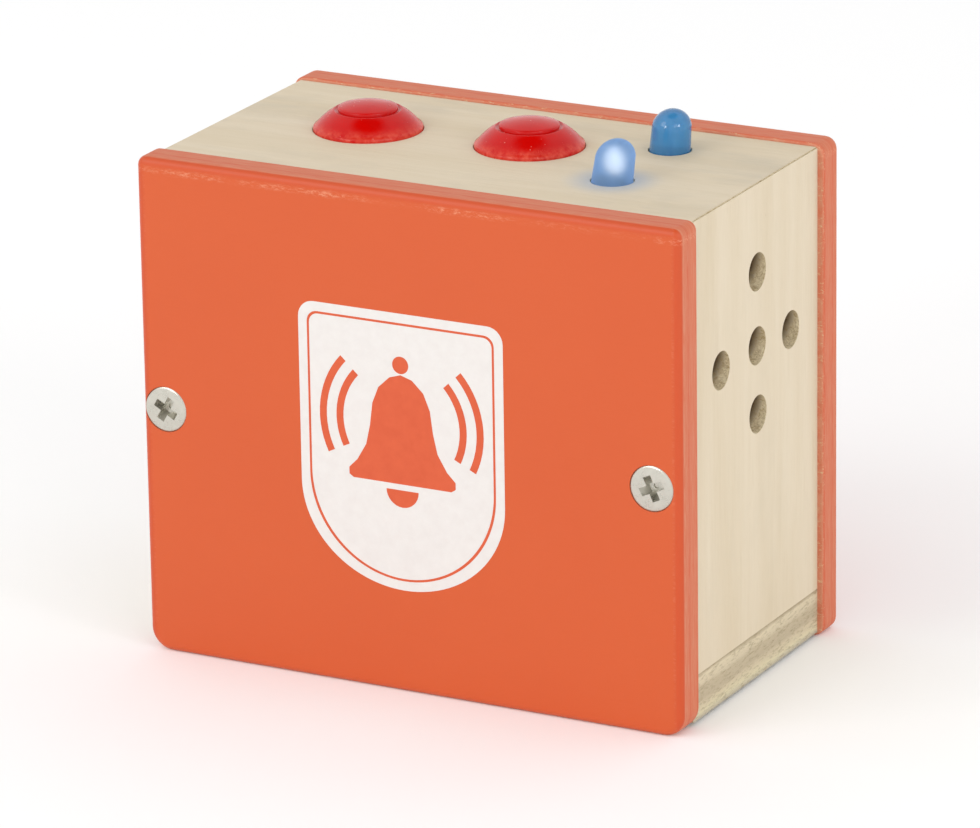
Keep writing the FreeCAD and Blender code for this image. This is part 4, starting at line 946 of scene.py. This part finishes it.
for finish, covered, base, second, look in inside:
    dress(covered, workedFinish(finish, base, second, **look))
for cell in ("upper", "middle", "lower"):  # a plain drawn steel can with a lacquered sleeve
    cellLow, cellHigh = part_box("battery_cell_" + cell)
    start, end = cellLow.x / mm, cellHigh.x / mm
    bands = [(start, None), (start + sleeve["bare"], sleeve["long"]),
             (end - sleeve["shortFrom"], sleeve["short"]), (end - sleeve["bare"], None), (end, None)]
    dress(("battery_cell_" + cell,), workedFinish("lacqueredCellSleeve" + cell.title(), "B4B6B8", "A4A6A8",
                                                  grainMm=3.0, rough=0.3, metallic=0.6, bands=("X", bands)))
print("inside finished")


# each box of light: its place, the width of its square, and its power
studio = {"floor": "FFFFFF", "floorSize": 12.0, "sky": 1.02, "ringTop": (0.9, 0.96), "aim": (0, 0, 0.03),
          "boxes": {"leftBox": ((-0.8, -1.1, 0.9), 0.7, 3.5), "rightBox": ((0.95, -0.85, 0.6), 0.5, 1.2),
                    "leftSpark": ((-0.27, -1.09, 0.46), 0.24, 1.5),
                    "rightSpark": ((1.06, -0.39, 0.46), 0.24, 1.5)}}


def addStudio():
    material, tree = newMaterial("palePaper")
    tone = addNode(tree, "ShaderNodeBsdfDiffuse", {"Color": linear(studio["floor"])})
    addNode(tree, "ShaderNodeOutputMaterial", {"Surface": tone.outputs[0]})
    half = studio["floorSize"] / 2
    mesh = bpy.data.meshes.new("studioFloor")
    corners = [(-half, -half, 0), (half, -half, 0), (half, half, 0), (-half, half, 0)]
    mesh.from_pydata(corners, [], [(0, 1, 2, 3)])
    floor = newPiece("studioFloor", mesh, material, smooth=False)
    # a white tent, bright all round and open at its very top
    world = bpy.data.worlds.new("softRoom")
    world.use_nodes = True
    tree = world.node_tree
    tree.nodes.clear()
    towards = addNode(tree, "ShaderNodeTexCoord")
    height = split(tree, towards.outputs["Generated"])["Z"]
    power = remap(tree, height, *studio["ringTop"], studio["sky"], 0.0)
    tent = addNode(tree, "ShaderNodeBackground", {"Color": (1.0, 1.0, 1.0, 1.0), "Strength": power})
    addNode(tree, "ShaderNodeOutputWorld", {0: tent.outputs[0]})
    bpy.context.scene.world = world
    for name, (place, size, energy) in studio["boxes"].items():
        light = bpy.data.lights.new(name, "AREA")
        light.shape = "SQUARE"
        light.size = size
        light.energy = energy
        holder = newObject(name, light)
        holder.location = place
        aim = Vector(studio["aim"]) - Vector(place)
        holder.rotation_euler = aim.to_track_quat("-Z", "Y").to_euler()
    settings = bpy.context.scene.view_settings
    settings.view_transform = "Standard"
    settings.look = "None"


addStudio()
print("studio lit")
